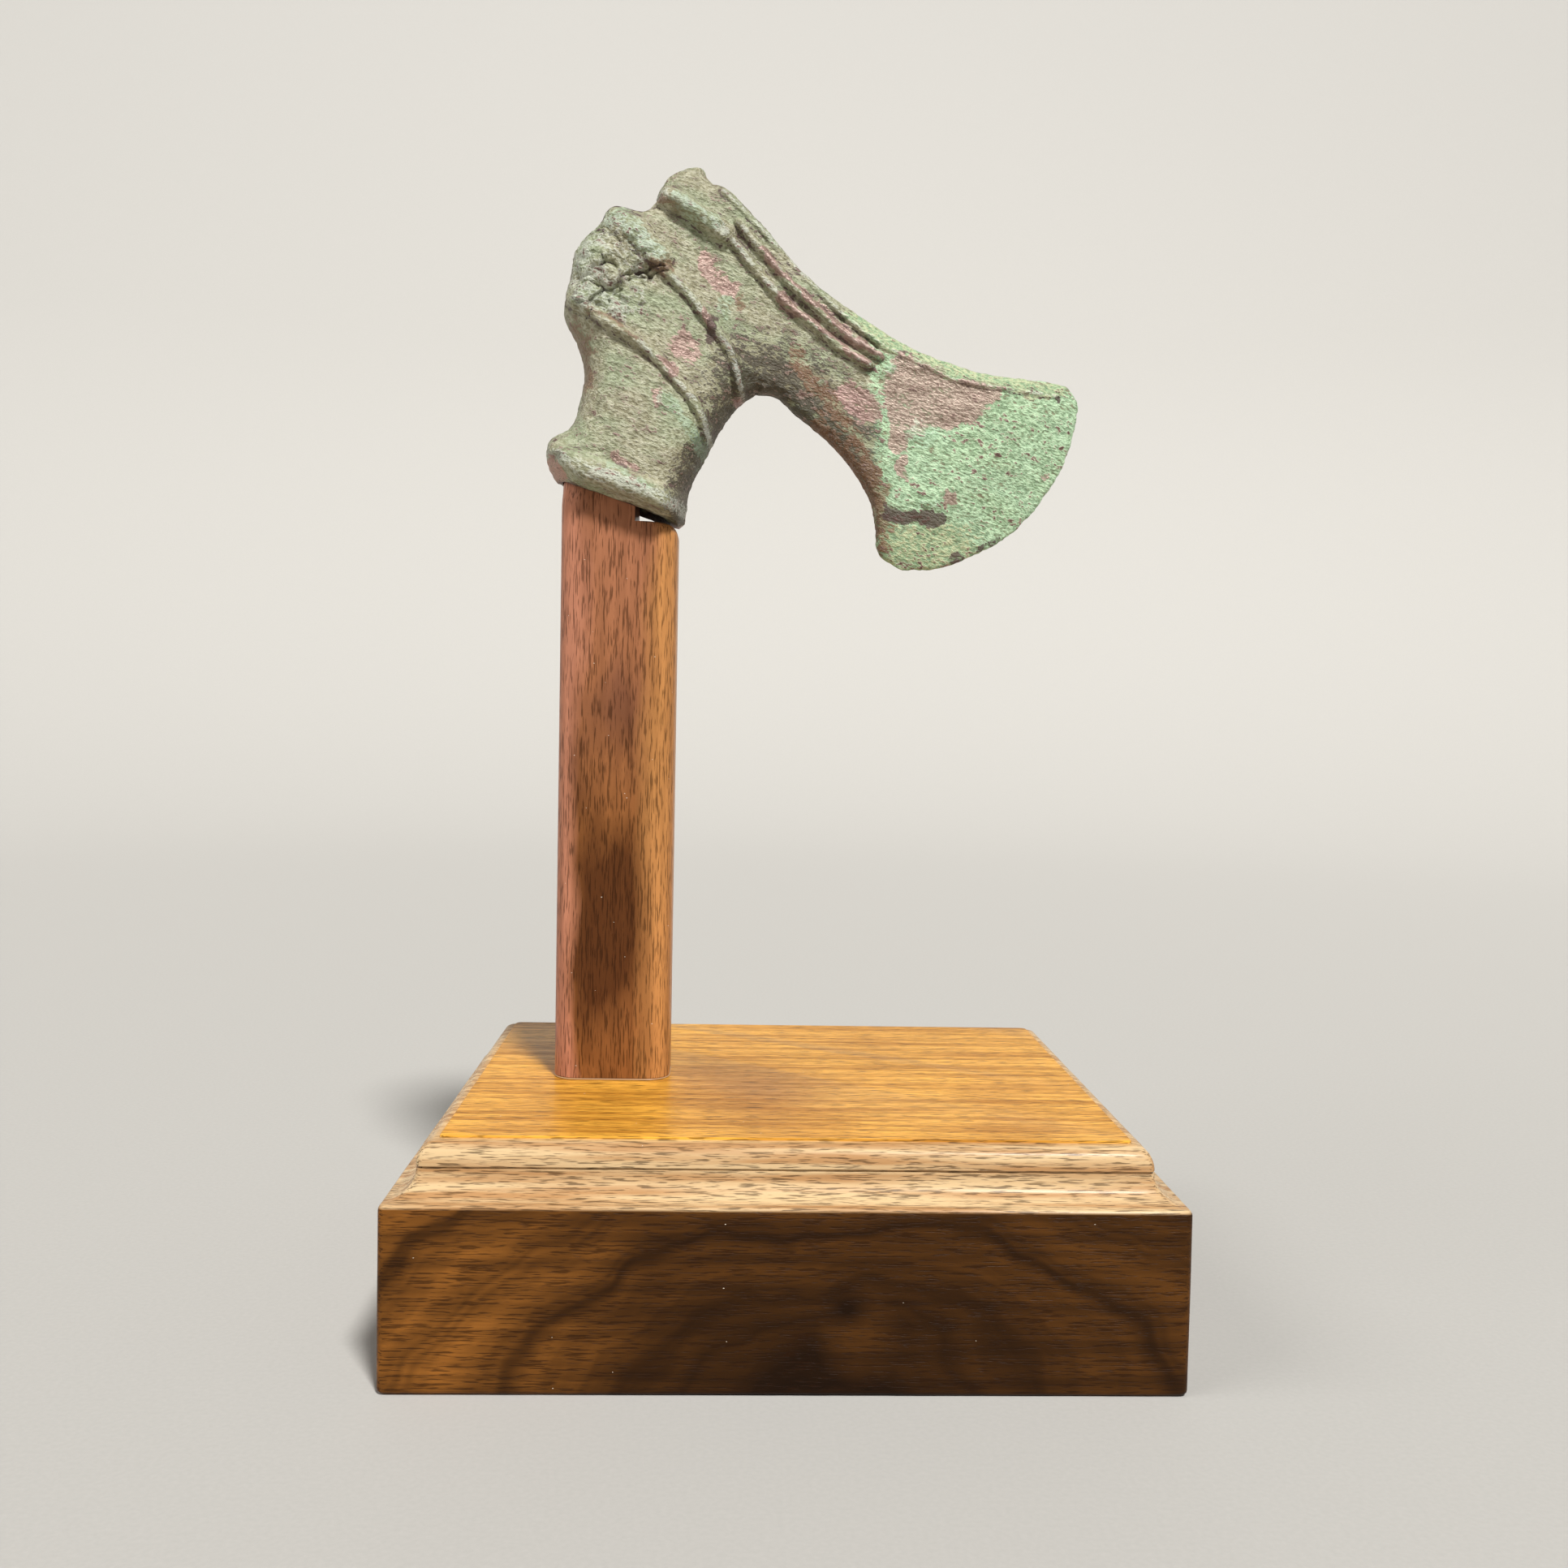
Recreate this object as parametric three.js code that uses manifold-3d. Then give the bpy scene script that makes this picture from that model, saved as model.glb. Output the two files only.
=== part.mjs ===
// Bronze age shaft-hole axe head on its walnut stand: a block with a moulded edge, a post with a
// notched top, and the casting that hangs on the tongue of the post.
// Millimetres, +Z up, origin under the middle of the block. The blade points along +X.
import * as THREE from 'three';
import { mergeVertices } from 'three/addons/utils/BufferGeometryUtils.js';
import Module from 'manifold-3d';

// Block
const BASE_WIDTH = 178;
const BASE_DEPTH = 146;
const BASE_HEIGHT = 54;
const BASE_CORNER_RADIUS = 1.6;
const BASE_CORNER_STEPS = 2;
const BASE_FOOT_EASE = 1.2;

// Moulding round the top of the block, from the flat top outwards and down
const MOULD_SETBACK = 11.1;
const MOULD_DROP = 13.1;
const QUIRK = 0.7;
const OVOLO_WIDTH = 3.6;
const OVOLO_HEIGHT = 5;
const GROOVE_DEPTH = 0.6;
const GROOVE_HEIGHT = 0.7;
const ARRIS_FLAT = 0.7;
const MOULD_STEPS = 6;

// Post
const POST_WIDTH = 29.8;
const POST_DEPTH = 20;
const POST_CORNER_RADIUS = 6;
const POST_OFFSET = -43.8;
const POST_HEIGHT = 142.7;
const GLUE_LINE = 0.3;
const CORNER_STEPS = 6;

// Tongue left standing at the top of the post beside the notch, and the eased end of the notch
const TONGUE_WIDTH = 19;
const TONGUE_HEIGHT = 27;
const TONGUE_ROOT = 1;
const NOTCH_EASE = 3.4;
const SOCKET_CLEARANCE = 0.35;

// Axe head. Its free form is drawn in shares of its length, LENGTH_SHARES of them from end to end.
// Its points are [x, z] from the seat of its mouth, which lies SOCKET_ASIDE right of the post's middle.
// The lattice reaches LATTICE_REACH lengths from its middle, its nodes stay NODE_MARGIN inside the
// outline, and those within CREST_PULL cells of a crest are moved onto it.
const HEAD_LENGTH = 138;
const LENGTH_SHARES = 138;
const SEAT_GAP = 0.3;
const SOCKET_ASIDE = 1;
const LATTICE_SHARES = 2.3;
const LATTICE_TURN = -46;
const LATTICE_REACH = 0.65;
const NODE_MARGIN = 0.15;
const CREST_PULL = 0.45;
const OUTLINE_STEP = 1.2;
const OUTLINE_MIDDLE = [48, 40];
const RIM_SHARES = 0.9;
const RIM_ROWS = 2;

// Outline of the head, one stretch after the other, clockwise from the low end of the mouth.
// round is how far in from the stretch the side turns over, and lip is the share of the thickness
// that is left at the stretch itself.
const OUTLINE = {
  mouth: { round: 4.3, lip: 0.8, knots: [[15.2, -1.0], [2.8, 3.0], [-8, 6.4], [-17.8, 10.2]] },
  flank: {
    round: 11,
    lip: 0,
    knots: [[-17.8, 10.2], [-20.4, 15], [-19.6, 20.6], [-14.2, 24.4], [-12, 31], [-11, 38],
      [-12.8, 45], [-16.2, 52], [-16.2, 57], [-15, 62], [-13.6, 69.2], [-7.4, 76.2]],
  },
  crown: {
    round: 6,
    lip: 0,
    knots: [[-7.4, 76.2], [-4.2, 80.4], [4.6, 80], [6.5, 81.4], [7.2, 84.4], [10, 88.2],
      [14.4, 90.8], [18.3, 91.2], [19.8, 89], [21.5, 87.2]],
  },
  back: {
    round: 5.5,
    lip: 0.4,
    knots: [[21.5, 87.2], [25.2, 85.6], [34.5, 76.7], [45.4, 64.9], [59.3, 54.9], [69.8, 48.8],
      [78.8, 44.8], [92.7, 40.9], [108.3, 39.4], [114.6, 38.4]],
  },
  edge: {
    round: 17,
    lip: 0,
    knots: [[114.6, 38.4], [117.2, 34.2], [117, 29.2], [113.8, 17.6], [109.5, 10.2], [100.4, -0.3],
      [92.8, -5], [82.5, -9.4], [72, -10.5]],
  },
  belly: {
    round: 2.4,
    lip: 0.2,
    knots: [[72, -10.5], [66.2, -6.4], [65, 0.7], [62.9, 8.8], [54.6, 20], [43.8, 29.1], [38.3, 33.6],
      [33.2, 34]],
  },
  throat: {
    round: 9,
    lip: 0,
    knots: [[33.2, 34], [29.2, 31], [25, 25.8], [21.2, 18.4], [16.6, 9], [15.8, 3.6], [15.2, -1.0]],
  },
};

// Half thickness of the casting: of the socket at its mouth, of the blade and of its edge. It thins
// from one to the other between two distances past a point on the inner rib, in shares.
const SOCKET_HALF = 13.4;
const BLADE_HALF = 4.2;
const EDGE_HALF = 0.5;
const THINNING = [-22, 26];
const THINNING_MIDDLE = [16.8, 49.7];
const THINNING_ASPECT = [0.93, 0.37];
const SOCKET_TAPER = 0.18;
const SOCKET_TAPER_REACH = [18, 82];

// Raised work: [height, half width, points]
const COLLAR = [2.8, 4.3, [[-19.6, 15.6], [-8, 11.2], [3.4, 7.2], [14.8, 3.2]]];
const RIBS = [
  [1.5, 2.1, [[-13.6, 54.4], [-9, 51.8], [-1.1, 46.6], [6.3, 42], [13.5, 34.6], [19.5, 26.7],
    [21.8, 20.3]]],
  [1.6, 2.1, [[5.9, 65.6], [12.9, 60], [18.1, 54.5], [22.9, 48.2], [26.3, 43.2], [28.8, 36.2],
    [30, 32]]],
  [1.7, 3.4, [[-7, 76.4], [1.5, 73], [5, 69.4], [8.6, 66]]],
  [2.6, 3.4, [[5, 82.8], [9.9, 81.6], [17.7, 77.6], [24.3, 73.4]]],
];
const RIDGES = [
  [1, 1.6, [[24, 84.4], [29, 80.2], [36.3, 73.1], [46.9, 62.5], [55.5, 54.2], [65.2, 46.8]]],
  [1.3, 1.8, [[28, 76.4], [33.5, 70.2], [41.7, 61.4], [48.7, 55], [56.5, 48.9], [64.8, 44]]],
  [1.3, 1.8, [[26.6, 71.4], [31.7, 65.6], [38.7, 58.3], [47.2, 51.4], [54.5, 46], [61.9, 41.4]]],
  [0.5, 1.4, [[65.2, 46.8], [74.5, 43], [84.7, 38.7], [100.1, 36.3], [111.4, 35.6]]],
];
// Raised work fades out over this distance from the outline.
const WORK_FADE = 2;
// Worn lumps and hollows of the butt and the crest, on the front only: [x, z, radius, height]
const LUMPS = [[-8, 64, 5.4, 1.7], [-3.2, 60.1, 4, 1.8], [-10.7, 56.2, 4.4, 1.9], [-4, 69, 5, 0.8],
  [0.4, 66, 4.2, 0.9], [3.6, 61.4, 5, -0.7], [-1.6, 55.6, 3.2, -0.9], [24.5, 74.8, 2.2, -0.8]];

// Shaft hole: [z, how far the left wall has leaned in, right wall, how much flatter], from under
// the mouth upwards. Its left wall and its depth at the mouth follow the post.
const HOLE = [[-14, 0, 11.6, 0], [9, 0, 11.4, 0], [24.5, 4.9, 10.8, 0.9], [31, 7, 10.3, 1.6],
  [43, 8, 9.3, 2.2], [65, 8.6, 7.3, 3.2], [98, 9.8, 5.8, 4.2]];
const HOLE_SIDES = 28;
const HOLE_SQUARENESS = 3.2;

const SHOULDER = BASE_HEIGHT + GLUE_LINE + POST_HEIGHT;
const SHARE = HEAD_LENGTH / LENGTH_SHARES;

const wasm = await Module();
wasm.setup();

function toSolid(geometry) {
  const bare = geometry.clone();
  bare.deleteAttribute('normal');
  bare.deleteAttribute('uv');
  const merged = mergeVertices(bare, 1e-4);
  return new wasm.Manifold(new wasm.Mesh({
    numProp: 3,
    vertProperties: new Float32Array(merged.attributes.position.array),
    triVerts: new Uint32Array(merged.index.array),
  }));
}

function fromSolid(solid) {
  const mesh = solid.getMesh();
  const geometry = new THREE.BufferGeometry();
  geometry.setAttribute('position', new THREE.BufferAttribute(mesh.vertProperties, 3));
  geometry.setIndex(new THREE.BufferAttribute(mesh.triVerts, 1));
  return geometry;
}

function meshGeometry(points, faces) {
  const geometry = new THREE.BufferGeometry();
  geometry.setAttribute('position', new THREE.Float32BufferAttribute(points.flat(), 3));
  geometry.setIndex(faces.flat());
  return geometry;
}

// Closed loft through rings of equal length, each anticlockwise seen from above, lowest first.
function loft(rings) {
  const sides = rings[0].length;
  const points = rings.flat();
  const faces = [];
  for (let row = 0; row + 1 < rings.length; row++) {
    for (let i = 0; i < sides; i++) {
      const a = row * sides + i;
      const b = row * sides + (i + 1) % sides;
      faces.push([a, b, b + sides], [a, b + sides, a + sides]);
    }
  }
  const top = (rings.length - 1) * sides;
  for (let i = 1; i + 1 < sides; i++) {
    faces.push([0, i + 1, i], [top, top + i, top + i + 1]);
  }
  return meshGeometry(points, faces);
}

function roundedRing(width, depth, radius, z, steps) {
  const ring = [];
  for (let corner = 0; corner < 4; corner++) {
    const sx = corner === 0 || corner === 3 ? 1 : -1;
    const sy = corner < 2 ? 1 : -1;
    for (let i = 0; i <= steps; i++) {
      const turn = (corner + i / steps) * Math.PI / 2;
      ring.push([
        sx * (width / 2 - radius) + radius * Math.cos(turn),
        sy * (depth / 2 - radius) + radius * Math.sin(turn),
        z,
      ]);
    }
  }
  return ring;
}

// Section of the block's edge as [distance in from the side, height], from the foot to the top.
function blockSection() {
  const arris = BASE_HEIGHT - MOULD_DROP;
  const ovoloTop = BASE_HEIGHT - QUIRK;
  const ovoloIn = MOULD_SETBACK - QUIRK;
  const grooveTop = ovoloTop - OVOLO_HEIGHT;
  const coveIn = ovoloIn - OVOLO_WIDTH;
  const coveTop = grooveTop - GROOVE_HEIGHT;
  const section = [[BASE_FOOT_EASE, 0], [0, BASE_FOOT_EASE], [0, arris], [ARRIS_FLAT, arris + ARRIS_FLAT]];
  for (let i = 1; i <= MOULD_STEPS; i++) {
    const turn = i / MOULD_STEPS * Math.PI / 2;
    section.push([
      ARRIS_FLAT + (coveIn - ARRIS_FLAT) * Math.sin(turn),
      coveTop + (arris + ARRIS_FLAT - coveTop) * Math.cos(turn),
    ]);
  }
  section.push([coveIn + GROOVE_DEPTH, coveTop], [coveIn + GROOVE_DEPTH, grooveTop], [coveIn, grooveTop]);
  for (let i = 1; i <= MOULD_STEPS; i++) {
    const turn = i / MOULD_STEPS * Math.PI / 2;
    section.push([
      coveIn + OVOLO_WIDTH * (1 - Math.cos(turn)),
      grooveTop + OVOLO_HEIGHT * Math.sin(turn),
    ]);
  }
  section.push([MOULD_SETBACK, ovoloTop], [MOULD_SETBACK, BASE_HEIGHT]);
  return section;
}

function makeBlock() {
  return loft(blockSection().map(([inset, z]) => roundedRing(
    BASE_WIDTH - 2 * inset, BASE_DEPTH - 2 * inset, BASE_CORNER_RADIUS, z, BASE_CORNER_STEPS)));
}

// The shaft hole, drawn in by inset on every side, in the head's own frame.
function holeSolid(inset) {
  const rings = HOLE.map(([z, leanIn, right, flatter]) => {
    const xl = -SOCKET_ASIDE - POST_WIDTH / 2 - SOCKET_CLEARANCE + leanIn * SHARE + inset;
    const xr = right * SHARE - inset;
    const half = POST_DEPTH / 2 + SOCKET_CLEARANCE - flatter * SHARE - inset;
    const power = 2 / HOLE_SQUARENESS;
    const ring = [];
    for (let i = 0; i < HOLE_SIDES; i++) {
      const c = Math.cos(i / HOLE_SIDES * Math.PI * 2);
      const s = Math.sin(i / HOLE_SIDES * Math.PI * 2);
      ring.push([
        (xl + xr) / 2 + (xr - xl) / 2 * Math.sign(c) * Math.abs(c) ** power,
        half * Math.sign(s) * Math.abs(s) ** power,
        z * SHARE,
      ]);
    }
    return ring;
  });
  return toSolid(loft(rings));
}

// Post with its foot at z = 0: the full bar up to the notch, and the tongue beside the notch, which
// starts TONGUE_ROOT down in the bar.
function makePost() {
  const ring = (z) => roundedRing(POST_WIDTH, POST_DEPTH, POST_CORNER_RADIUS, z, CORNER_STEPS);
  const bar = toSolid(loft([ring(0), ring(POST_HEIGHT)]));
  const upper = toSolid(loft([ring(-TONGUE_ROOT), ring(TONGUE_HEIGHT + SEAT_GAP)]));
  const tongueRight = -POST_WIDTH / 2 + TONGUE_WIDTH;
  const left = toSolid(boxAt(-POST_WIDTH, tongueRight, -2 * TONGUE_ROOT, 2 * TONGUE_HEIGHT));
  const tongue = upper.intersect(left)
    .intersect(holeSolid(SOCKET_CLEARANCE).translate([SOCKET_ASIDE, 0, SEAT_GAP]))
    .translate([0, 0, POST_HEIGHT]);
  const easing = toSolid(notchEasing());
  return fromSolid(bar.subtract(easing).add(tongue));
}

function boxAt(x0, x1, z0, z1) {
  const box = new THREE.BoxGeometry(x1 - x0, 3 * POST_DEPTH, z1 - z0);
  box.translate((x0 + x1) / 2, 0, (z0 + z1) / 2);
  return box;
}

// What the worn right-hand corner of the notch has lost: the space outside a quarter round.
function notchEasing() {
  const right = POST_WIDTH / 2;
  const shape = new THREE.Shape();
  shape.moveTo(right + 1, POST_HEIGHT + 1);
  shape.lineTo(right - NOTCH_EASE, POST_HEIGHT + 1);
  shape.lineTo(right - NOTCH_EASE, POST_HEIGHT);
  shape.absarc(right - NOTCH_EASE, POST_HEIGHT - NOTCH_EASE, NOTCH_EASE, Math.PI / 2, 0, true);
  shape.lineTo(right + 1, POST_HEIGHT - NOTCH_EASE);
  const depth = 3 * POST_DEPTH;
  const easing = new THREE.ExtrudeGeometry(
    shape, { depth, bevelEnabled: false, curveSegments: CORNER_STEPS });
  easing.rotateX(Math.PI / 2);
  easing.translate(0, depth / 2, 0);
  return easing;
}

const EDGE_STRETCH = Object.keys(OUTLINE).indexOf('edge');

const stretches = Object.values(OUTLINE).map(({ round, lip, knots }) => {
  const curve = new THREE.CatmullRomCurve3(
    knots.map(([x, z]) => new THREE.Vector3(x, 0, z)), false, 'centripetal');
  const steps = Math.ceil(curve.getLength() / OUTLINE_STEP);
  return { round, lip, points: curve.getSpacedPoints(steps).map((p) => [p.x, p.z]) };
});

// Distance from a point to a polyline, with the nearest point on it.
function nearest(x, z, line) {
  let best = { distance: Infinity, x: 0, z: 0 };
  for (let i = 0; i + 1 < line.length; i++) {
    const [ax, az] = line[i];
    const [bx, bz] = line[i + 1];
    const span = (bx - ax) ** 2 + (bz - az) ** 2;
    const t = THREE.MathUtils.clamp(((x - ax) * (bx - ax) + (z - az) * (bz - az)) / span, 0, 1);
    const nx = ax + t * (bx - ax);
    const nz = az + t * (bz - az);
    const distance = Math.hypot(x - nx, z - nz);
    if (distance < best.distance) {
      best = { distance, x: nx, z: nz };
    }
  }
  return best;
}

function isInside(x, z) {
  let inside = false;
  for (const { points } of stretches) {
    for (let i = 0; i + 1 < points.length; i++) {
      const [ax, az] = points[i];
      const [bx, bz] = points[i + 1];
      if ((az > z) !== (bz > z) && x < ax + (bx - ax) * (z - az) / (bz - az)) {
        inside = !inside;
      }
    }
  }
  return inside;
}

function nearestRim(x, z) {
  return stretches.map(({ points }) => nearest(x, z, points))
    .reduce((a, b) => (a.distance < b.distance ? a : b));
}

function ridge(x, z, [height, halfWidth, line]) {
  const share = nearest(x, z, line).distance / halfWidth;
  return share < 1 ? height * (1 - share * share) : 0;
}

function mound(x, z, [mx, mz, radius, height]) {
  const share = Math.hypot(x - mx, z - mz) / radius;
  return share < 1 ? height * (1 - share * share) : 0;
}

// Half thickness of the casting at a point of its side view. Only the front has the worn lumps.
function halfThickness(x, z, front) {
  const past = THINNING_ASPECT[0] * (x - THINNING_MIDDLE[0])
    + THINNING_ASPECT[1] * (z - THINNING_MIDDLE[1]);
  const taper = 1 - SOCKET_TAPER * THREE.MathUtils.smoothstep(z, ...SOCKET_TAPER_REACH);
  const thinned = THREE.MathUtils.smoothstep(past, ...THINNING);
  let half = THREE.MathUtils.lerp(SOCKET_HALF / SHARE * taper, BLADE_HALF / SHARE, thinned);
  let turned = 1;
  let rim = Infinity;
  for (const { round, lip, points } of stretches) {
    const { distance } = nearest(x, z, points);
    rim = Math.min(rim, distance);
    const share = Math.min(distance / round, 1);
    if (points === stretches[EDGE_STRETCH].points) {
      half = THREE.MathUtils.lerp(EDGE_HALF / SHARE, half, share);
    } else {
      turned = Math.min(turned, lip + (1 - lip) * Math.sqrt(1 - (1 - share) ** 2));
    }
  }
  half *= turned;
  const raised = [COLLAR, ...RIBS, ...RIDGES].map((work) => ridge(x, z, work));
  half += Math.max(...raised) * Math.min(1, rim / WORK_FADE);
  if (front) {
    for (const lump of LUMPS) {
      half += mound(x, z, lump) * turned;
    }
  }
  const closing = 1 - Math.min(rim / RIM_SHARES, 1);
  return half * Math.sqrt(1 - closing * closing);
}

// The casting without its hole: a lattice of cells inside the outline, raised to the front and to
// the back, whose outermost nodes are pulled to the rim and joined round it.
function makeCasting() {
  const turn = THREE.MathUtils.degToRad(LATTICE_TURN);
  const reach = Math.ceil(LATTICE_REACH * LENGTH_SHARES / LATTICE_SHARES);
  const at = (i, j) => [
    OUTLINE_MIDDLE[0] + LATTICE_SHARES * (i * Math.cos(turn) - j * Math.sin(turn)),
    OUTLINE_MIDDLE[1] + LATTICE_SHARES * (i * Math.sin(turn) + j * Math.cos(turn)),
  ];
  const key = (i, j) => `${i},${j}`;
  const inner = new Map();
  for (let i = -reach; i <= reach; i++) {
    for (let j = -reach; j <= reach; j++) {
      const [x, z] = at(i, j);
      if (isInside(x, z) && nearestRim(x, z).distance > NODE_MARGIN) {
        inner.set(key(i, j), [x, z]);
      }
    }
  }
  const quads = [];
  for (let i = -reach; i < reach; i++) {
    for (let j = -reach; j < reach; j++) {
      const quad = [key(i, j), key(i + 1, j), key(i + 1, j + 1), key(i, j + 1)];
      if (quad.every((node) => inner.has(node))) {
        quads.push(quad);
      }
    }
  }
  const edges = new Map();
  for (const quad of quads) {
    quad.forEach((a, side) => {
      const b = quad[(side + 1) % 4];
      if (!edges.delete(`${b} ${a}`)) {
        edges.set(`${a} ${b}`, [a, b]);
      }
    });
  }
  const rimNodes = new Map();
  for (const [a] of edges.values()) {
    const [x, z] = inner.get(a);
    const edge = nearestRim(x, z);
    const away = [(x - edge.x) / edge.distance, (z - edge.z) / edge.distance];
    rimNodes.set(a, { edge, away });
    inner.set(a, [edge.x + away[0] * RIM_SHARES, edge.z + away[1] * RIM_SHARES]);
  }
  pullToRidges(inner, rimNodes);

  const points = [];
  const faces = [];
  const front = new Map();
  const back = new Map();
  for (const node of new Set(quads.flat())) {
    const [x, z] = inner.get(node);
    front.set(node, points.push([x, -halfThickness(x, z, true), z]) - 1);
    back.set(node, points.push([x, halfThickness(x, z, false), z]) - 1);
  }
  for (const quad of quads) {
    addQuad(points, faces, quad.map((node) => front.get(node)));
    addQuad(points, faces, quad.map((node) => back.get(node)).reverse());
  }
  const roundRim = new Map();
  for (const [node, { edge, away }] of rimNodes) {
    const column = [front.get(node)];
    for (let row = 1; row < 2 * RIM_ROWS; row++) {
      const reach = Math.abs(row - RIM_ROWS) / RIM_ROWS;
      const depth = RIM_SHARES * reach * reach;
      const x = edge.x + away[0] * depth;
      const z = edge.z + away[1] * depth;
      const side = row < RIM_ROWS ? -1 : 1;
      const half = row === RIM_ROWS ? 0 : halfThickness(x, z, side < 0);
      column.push(points.push([x, side * half, z]) - 1);
    }
    column.push(back.get(node));
    roundRim.set(node, column);
  }
  for (const [a, b] of edges.values()) {
    const from = roundRim.get(a);
    const to = roundRim.get(b);
    for (let row = 0; row < 2 * RIM_ROWS; row++) {
      faces.push([to[row], from[row], from[row + 1]], [to[row], from[row + 1], to[row + 1]]);
    }
  }
  return meshGeometry(points, faces);
}

// Two triangles that meet along the diagonal with the smaller step in thickness.
function addQuad(points, faces, [a, b, c, d]) {
  const step = (p, q) => Math.abs(points[p][1] - points[q][1]);
  if (step(a, c) < step(b, d)) {
    faces.push([a, b, c], [a, c, d]);
  } else {
    faces.push([a, b, d], [b, c, d]);
  }
}

// Moves the nodes beside a ridge onto its crest, so that the crest is one clean line.
function pullToRidges(inner, rimNodes) {
  for (const [node, [x, z]] of inner) {
    if (rimNodes.has(node)) {
      continue;
    }
    for (const [, , line] of [COLLAR, ...RIBS, ...RIDGES]) {
      const crest = nearest(x, z, line);
      if (crest.distance < CREST_PULL * LATTICE_SHARES) {
        inner.set(node, [crest.x, crest.z]);
        break;
      }
    }
  }
}

function makeHead() {
  const casting = toSolid(makeCasting()).scale([SHARE, SHARE, SHARE]);
  return fromSolid(casting.subtract(holeSolid(0)));
}

function part(name, geometry, color, roughness, metalness) {
  geometry.computeVertexNormals();
  const mesh = new THREE.Mesh(geometry, new THREE.MeshStandardMaterial({ color, roughness, metalness }));
  mesh.name = name;
  return mesh;
}

const group = new THREE.Group();

const block = part('stand_base', makeBlock(), '#5a3420', 0.35, 0);
group.add(block);

const post = part('stand_post', makePost(), '#7a4a2a', 0.4, 0);
post.position.set(POST_OFFSET, 0, BASE_HEIGHT + GLUE_LINE);
group.add(post);

const head = part('axe_head', makeHead(), '#8c8a5a', 0.7, 0.4);
head.position.set(POST_OFFSET + SOCKET_ASIDE, 0, SHOULDER + SEAT_GAP);
group.add(head);

export default group;
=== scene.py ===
"""Bronze age axe head on its walnut stand: the visible pieces, their materials and the studio.

Built in metres in the packed frame. The casting is the CAD form at a fine lattice, with the cracks,
flakes, worn lumps and grainy crust of the real one. The block and the post are walnut.
"""
import math

import bpy
import numpy as np
from mathutils import Matrix, Vector


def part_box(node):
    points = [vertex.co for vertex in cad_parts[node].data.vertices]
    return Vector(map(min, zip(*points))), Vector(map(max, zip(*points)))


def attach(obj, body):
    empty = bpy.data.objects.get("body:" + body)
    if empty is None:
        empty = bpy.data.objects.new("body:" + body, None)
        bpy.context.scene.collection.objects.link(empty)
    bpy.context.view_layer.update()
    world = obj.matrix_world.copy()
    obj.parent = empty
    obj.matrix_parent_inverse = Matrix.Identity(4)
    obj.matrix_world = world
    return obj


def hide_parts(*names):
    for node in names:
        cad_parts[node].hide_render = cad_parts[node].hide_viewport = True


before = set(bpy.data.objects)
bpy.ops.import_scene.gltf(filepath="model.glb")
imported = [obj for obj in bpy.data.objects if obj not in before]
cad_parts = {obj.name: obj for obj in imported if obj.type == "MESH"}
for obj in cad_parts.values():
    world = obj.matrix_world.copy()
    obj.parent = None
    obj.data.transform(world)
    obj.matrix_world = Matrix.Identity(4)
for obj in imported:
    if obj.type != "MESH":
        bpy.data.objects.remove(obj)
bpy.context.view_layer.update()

bl_info = {
    "name": "Axe head on a walnut stand",
    "version": (1, 0, 0),
    "blender": (4, 5, 0),
    "location": "View3D > Sidebar > Axe head",
    "description": "Makes a corroded bronze axe head on its walnut post and block",
    "category": "Add Mesh",
}

MM = 0.001
SENSOR_MM = 36

# Where the packed pieces are, in mm
BASE_LOW, BASE_HIGH = ([v / MM for v in corner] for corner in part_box("stand_base"))
POST_LOW, POST_HIGH = ([v / MM for v in corner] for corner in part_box("stand_post"))
POST_X = (POST_LOW[0] + POST_HIGH[0]) / 2
POST_FOOT = POST_LOW[2]
TONGUE_TOP = POST_HIGH[2]
NOTCH_Z = 197.0
SEAT = Vector((-42.8, 0, 197.3))

# Camera, from the photograph: place in mm, then turn, tilt and roll in degrees, then lens in mm
CAMERA_PLACE = (-15.33, -396.01, 148.79)
CAMERA_TURN = (2.179, -2.631, 1.119)
CAMERA_LENS = 34.70

# Where the key light and the fill light come from, in mm
KEY_PLACE = (230, -560, 800)
FILL_PLACE = (-800, -300, 620)

# Slant and drawing-out of the crust's wrinkles
CRUST_LEAN = math.radians(-18)
CRUST_STRETCH = 0.5

# Marks on the block, in mm: middle of the wood's arches, of the knot and of the pale wood under it on
# the front as x and z, and middle of the darker patch on the top as x and y
ARCH_CENTRE = (12, -6)
KNOT_CENTRE = (13.5, 19.5)
PALE_CENTRE = (16, 13)
DARK_PATCH_CENTRE = (-6, -20)
# Height in mm where the block's plain side ends and its moulding starts, and where its top starts
MOULD_Z = 40.9
TOP_Z = 53.2
# Dark clouds on the front of the post, in mm: x, z, half height
POST_CLOUDS = [(POST_X, 152, 15), (POST_X - 1, 96, 30)]

# Dust on the wood: name, the piece that carries it, specks in a square metre, seed, slot
DUST = (("dust_on_post", "walnut_post", 4000, 3, "post_walnut"),
        ("dust_on_block", "walnut_block", 1500, 8, "base_walnut"))
SPECK_RADIUS = 0.09
# Bead of old glue round the foot of the post: its radius and how far in and down its middle lies
BEAD_RADIUS = 0.22
BEAD_INSET = 0.1

# Edges of the wood that are sharper than this stay crisp
CRISP_ANGLE = math.radians(38)
# Steps round a corner of the post and along each of its sides
POST_STEPS = (12, 6)
# Steps round a corner of the block and along each of its sides
BLOCK_STEPS = (5, 48)

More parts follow.
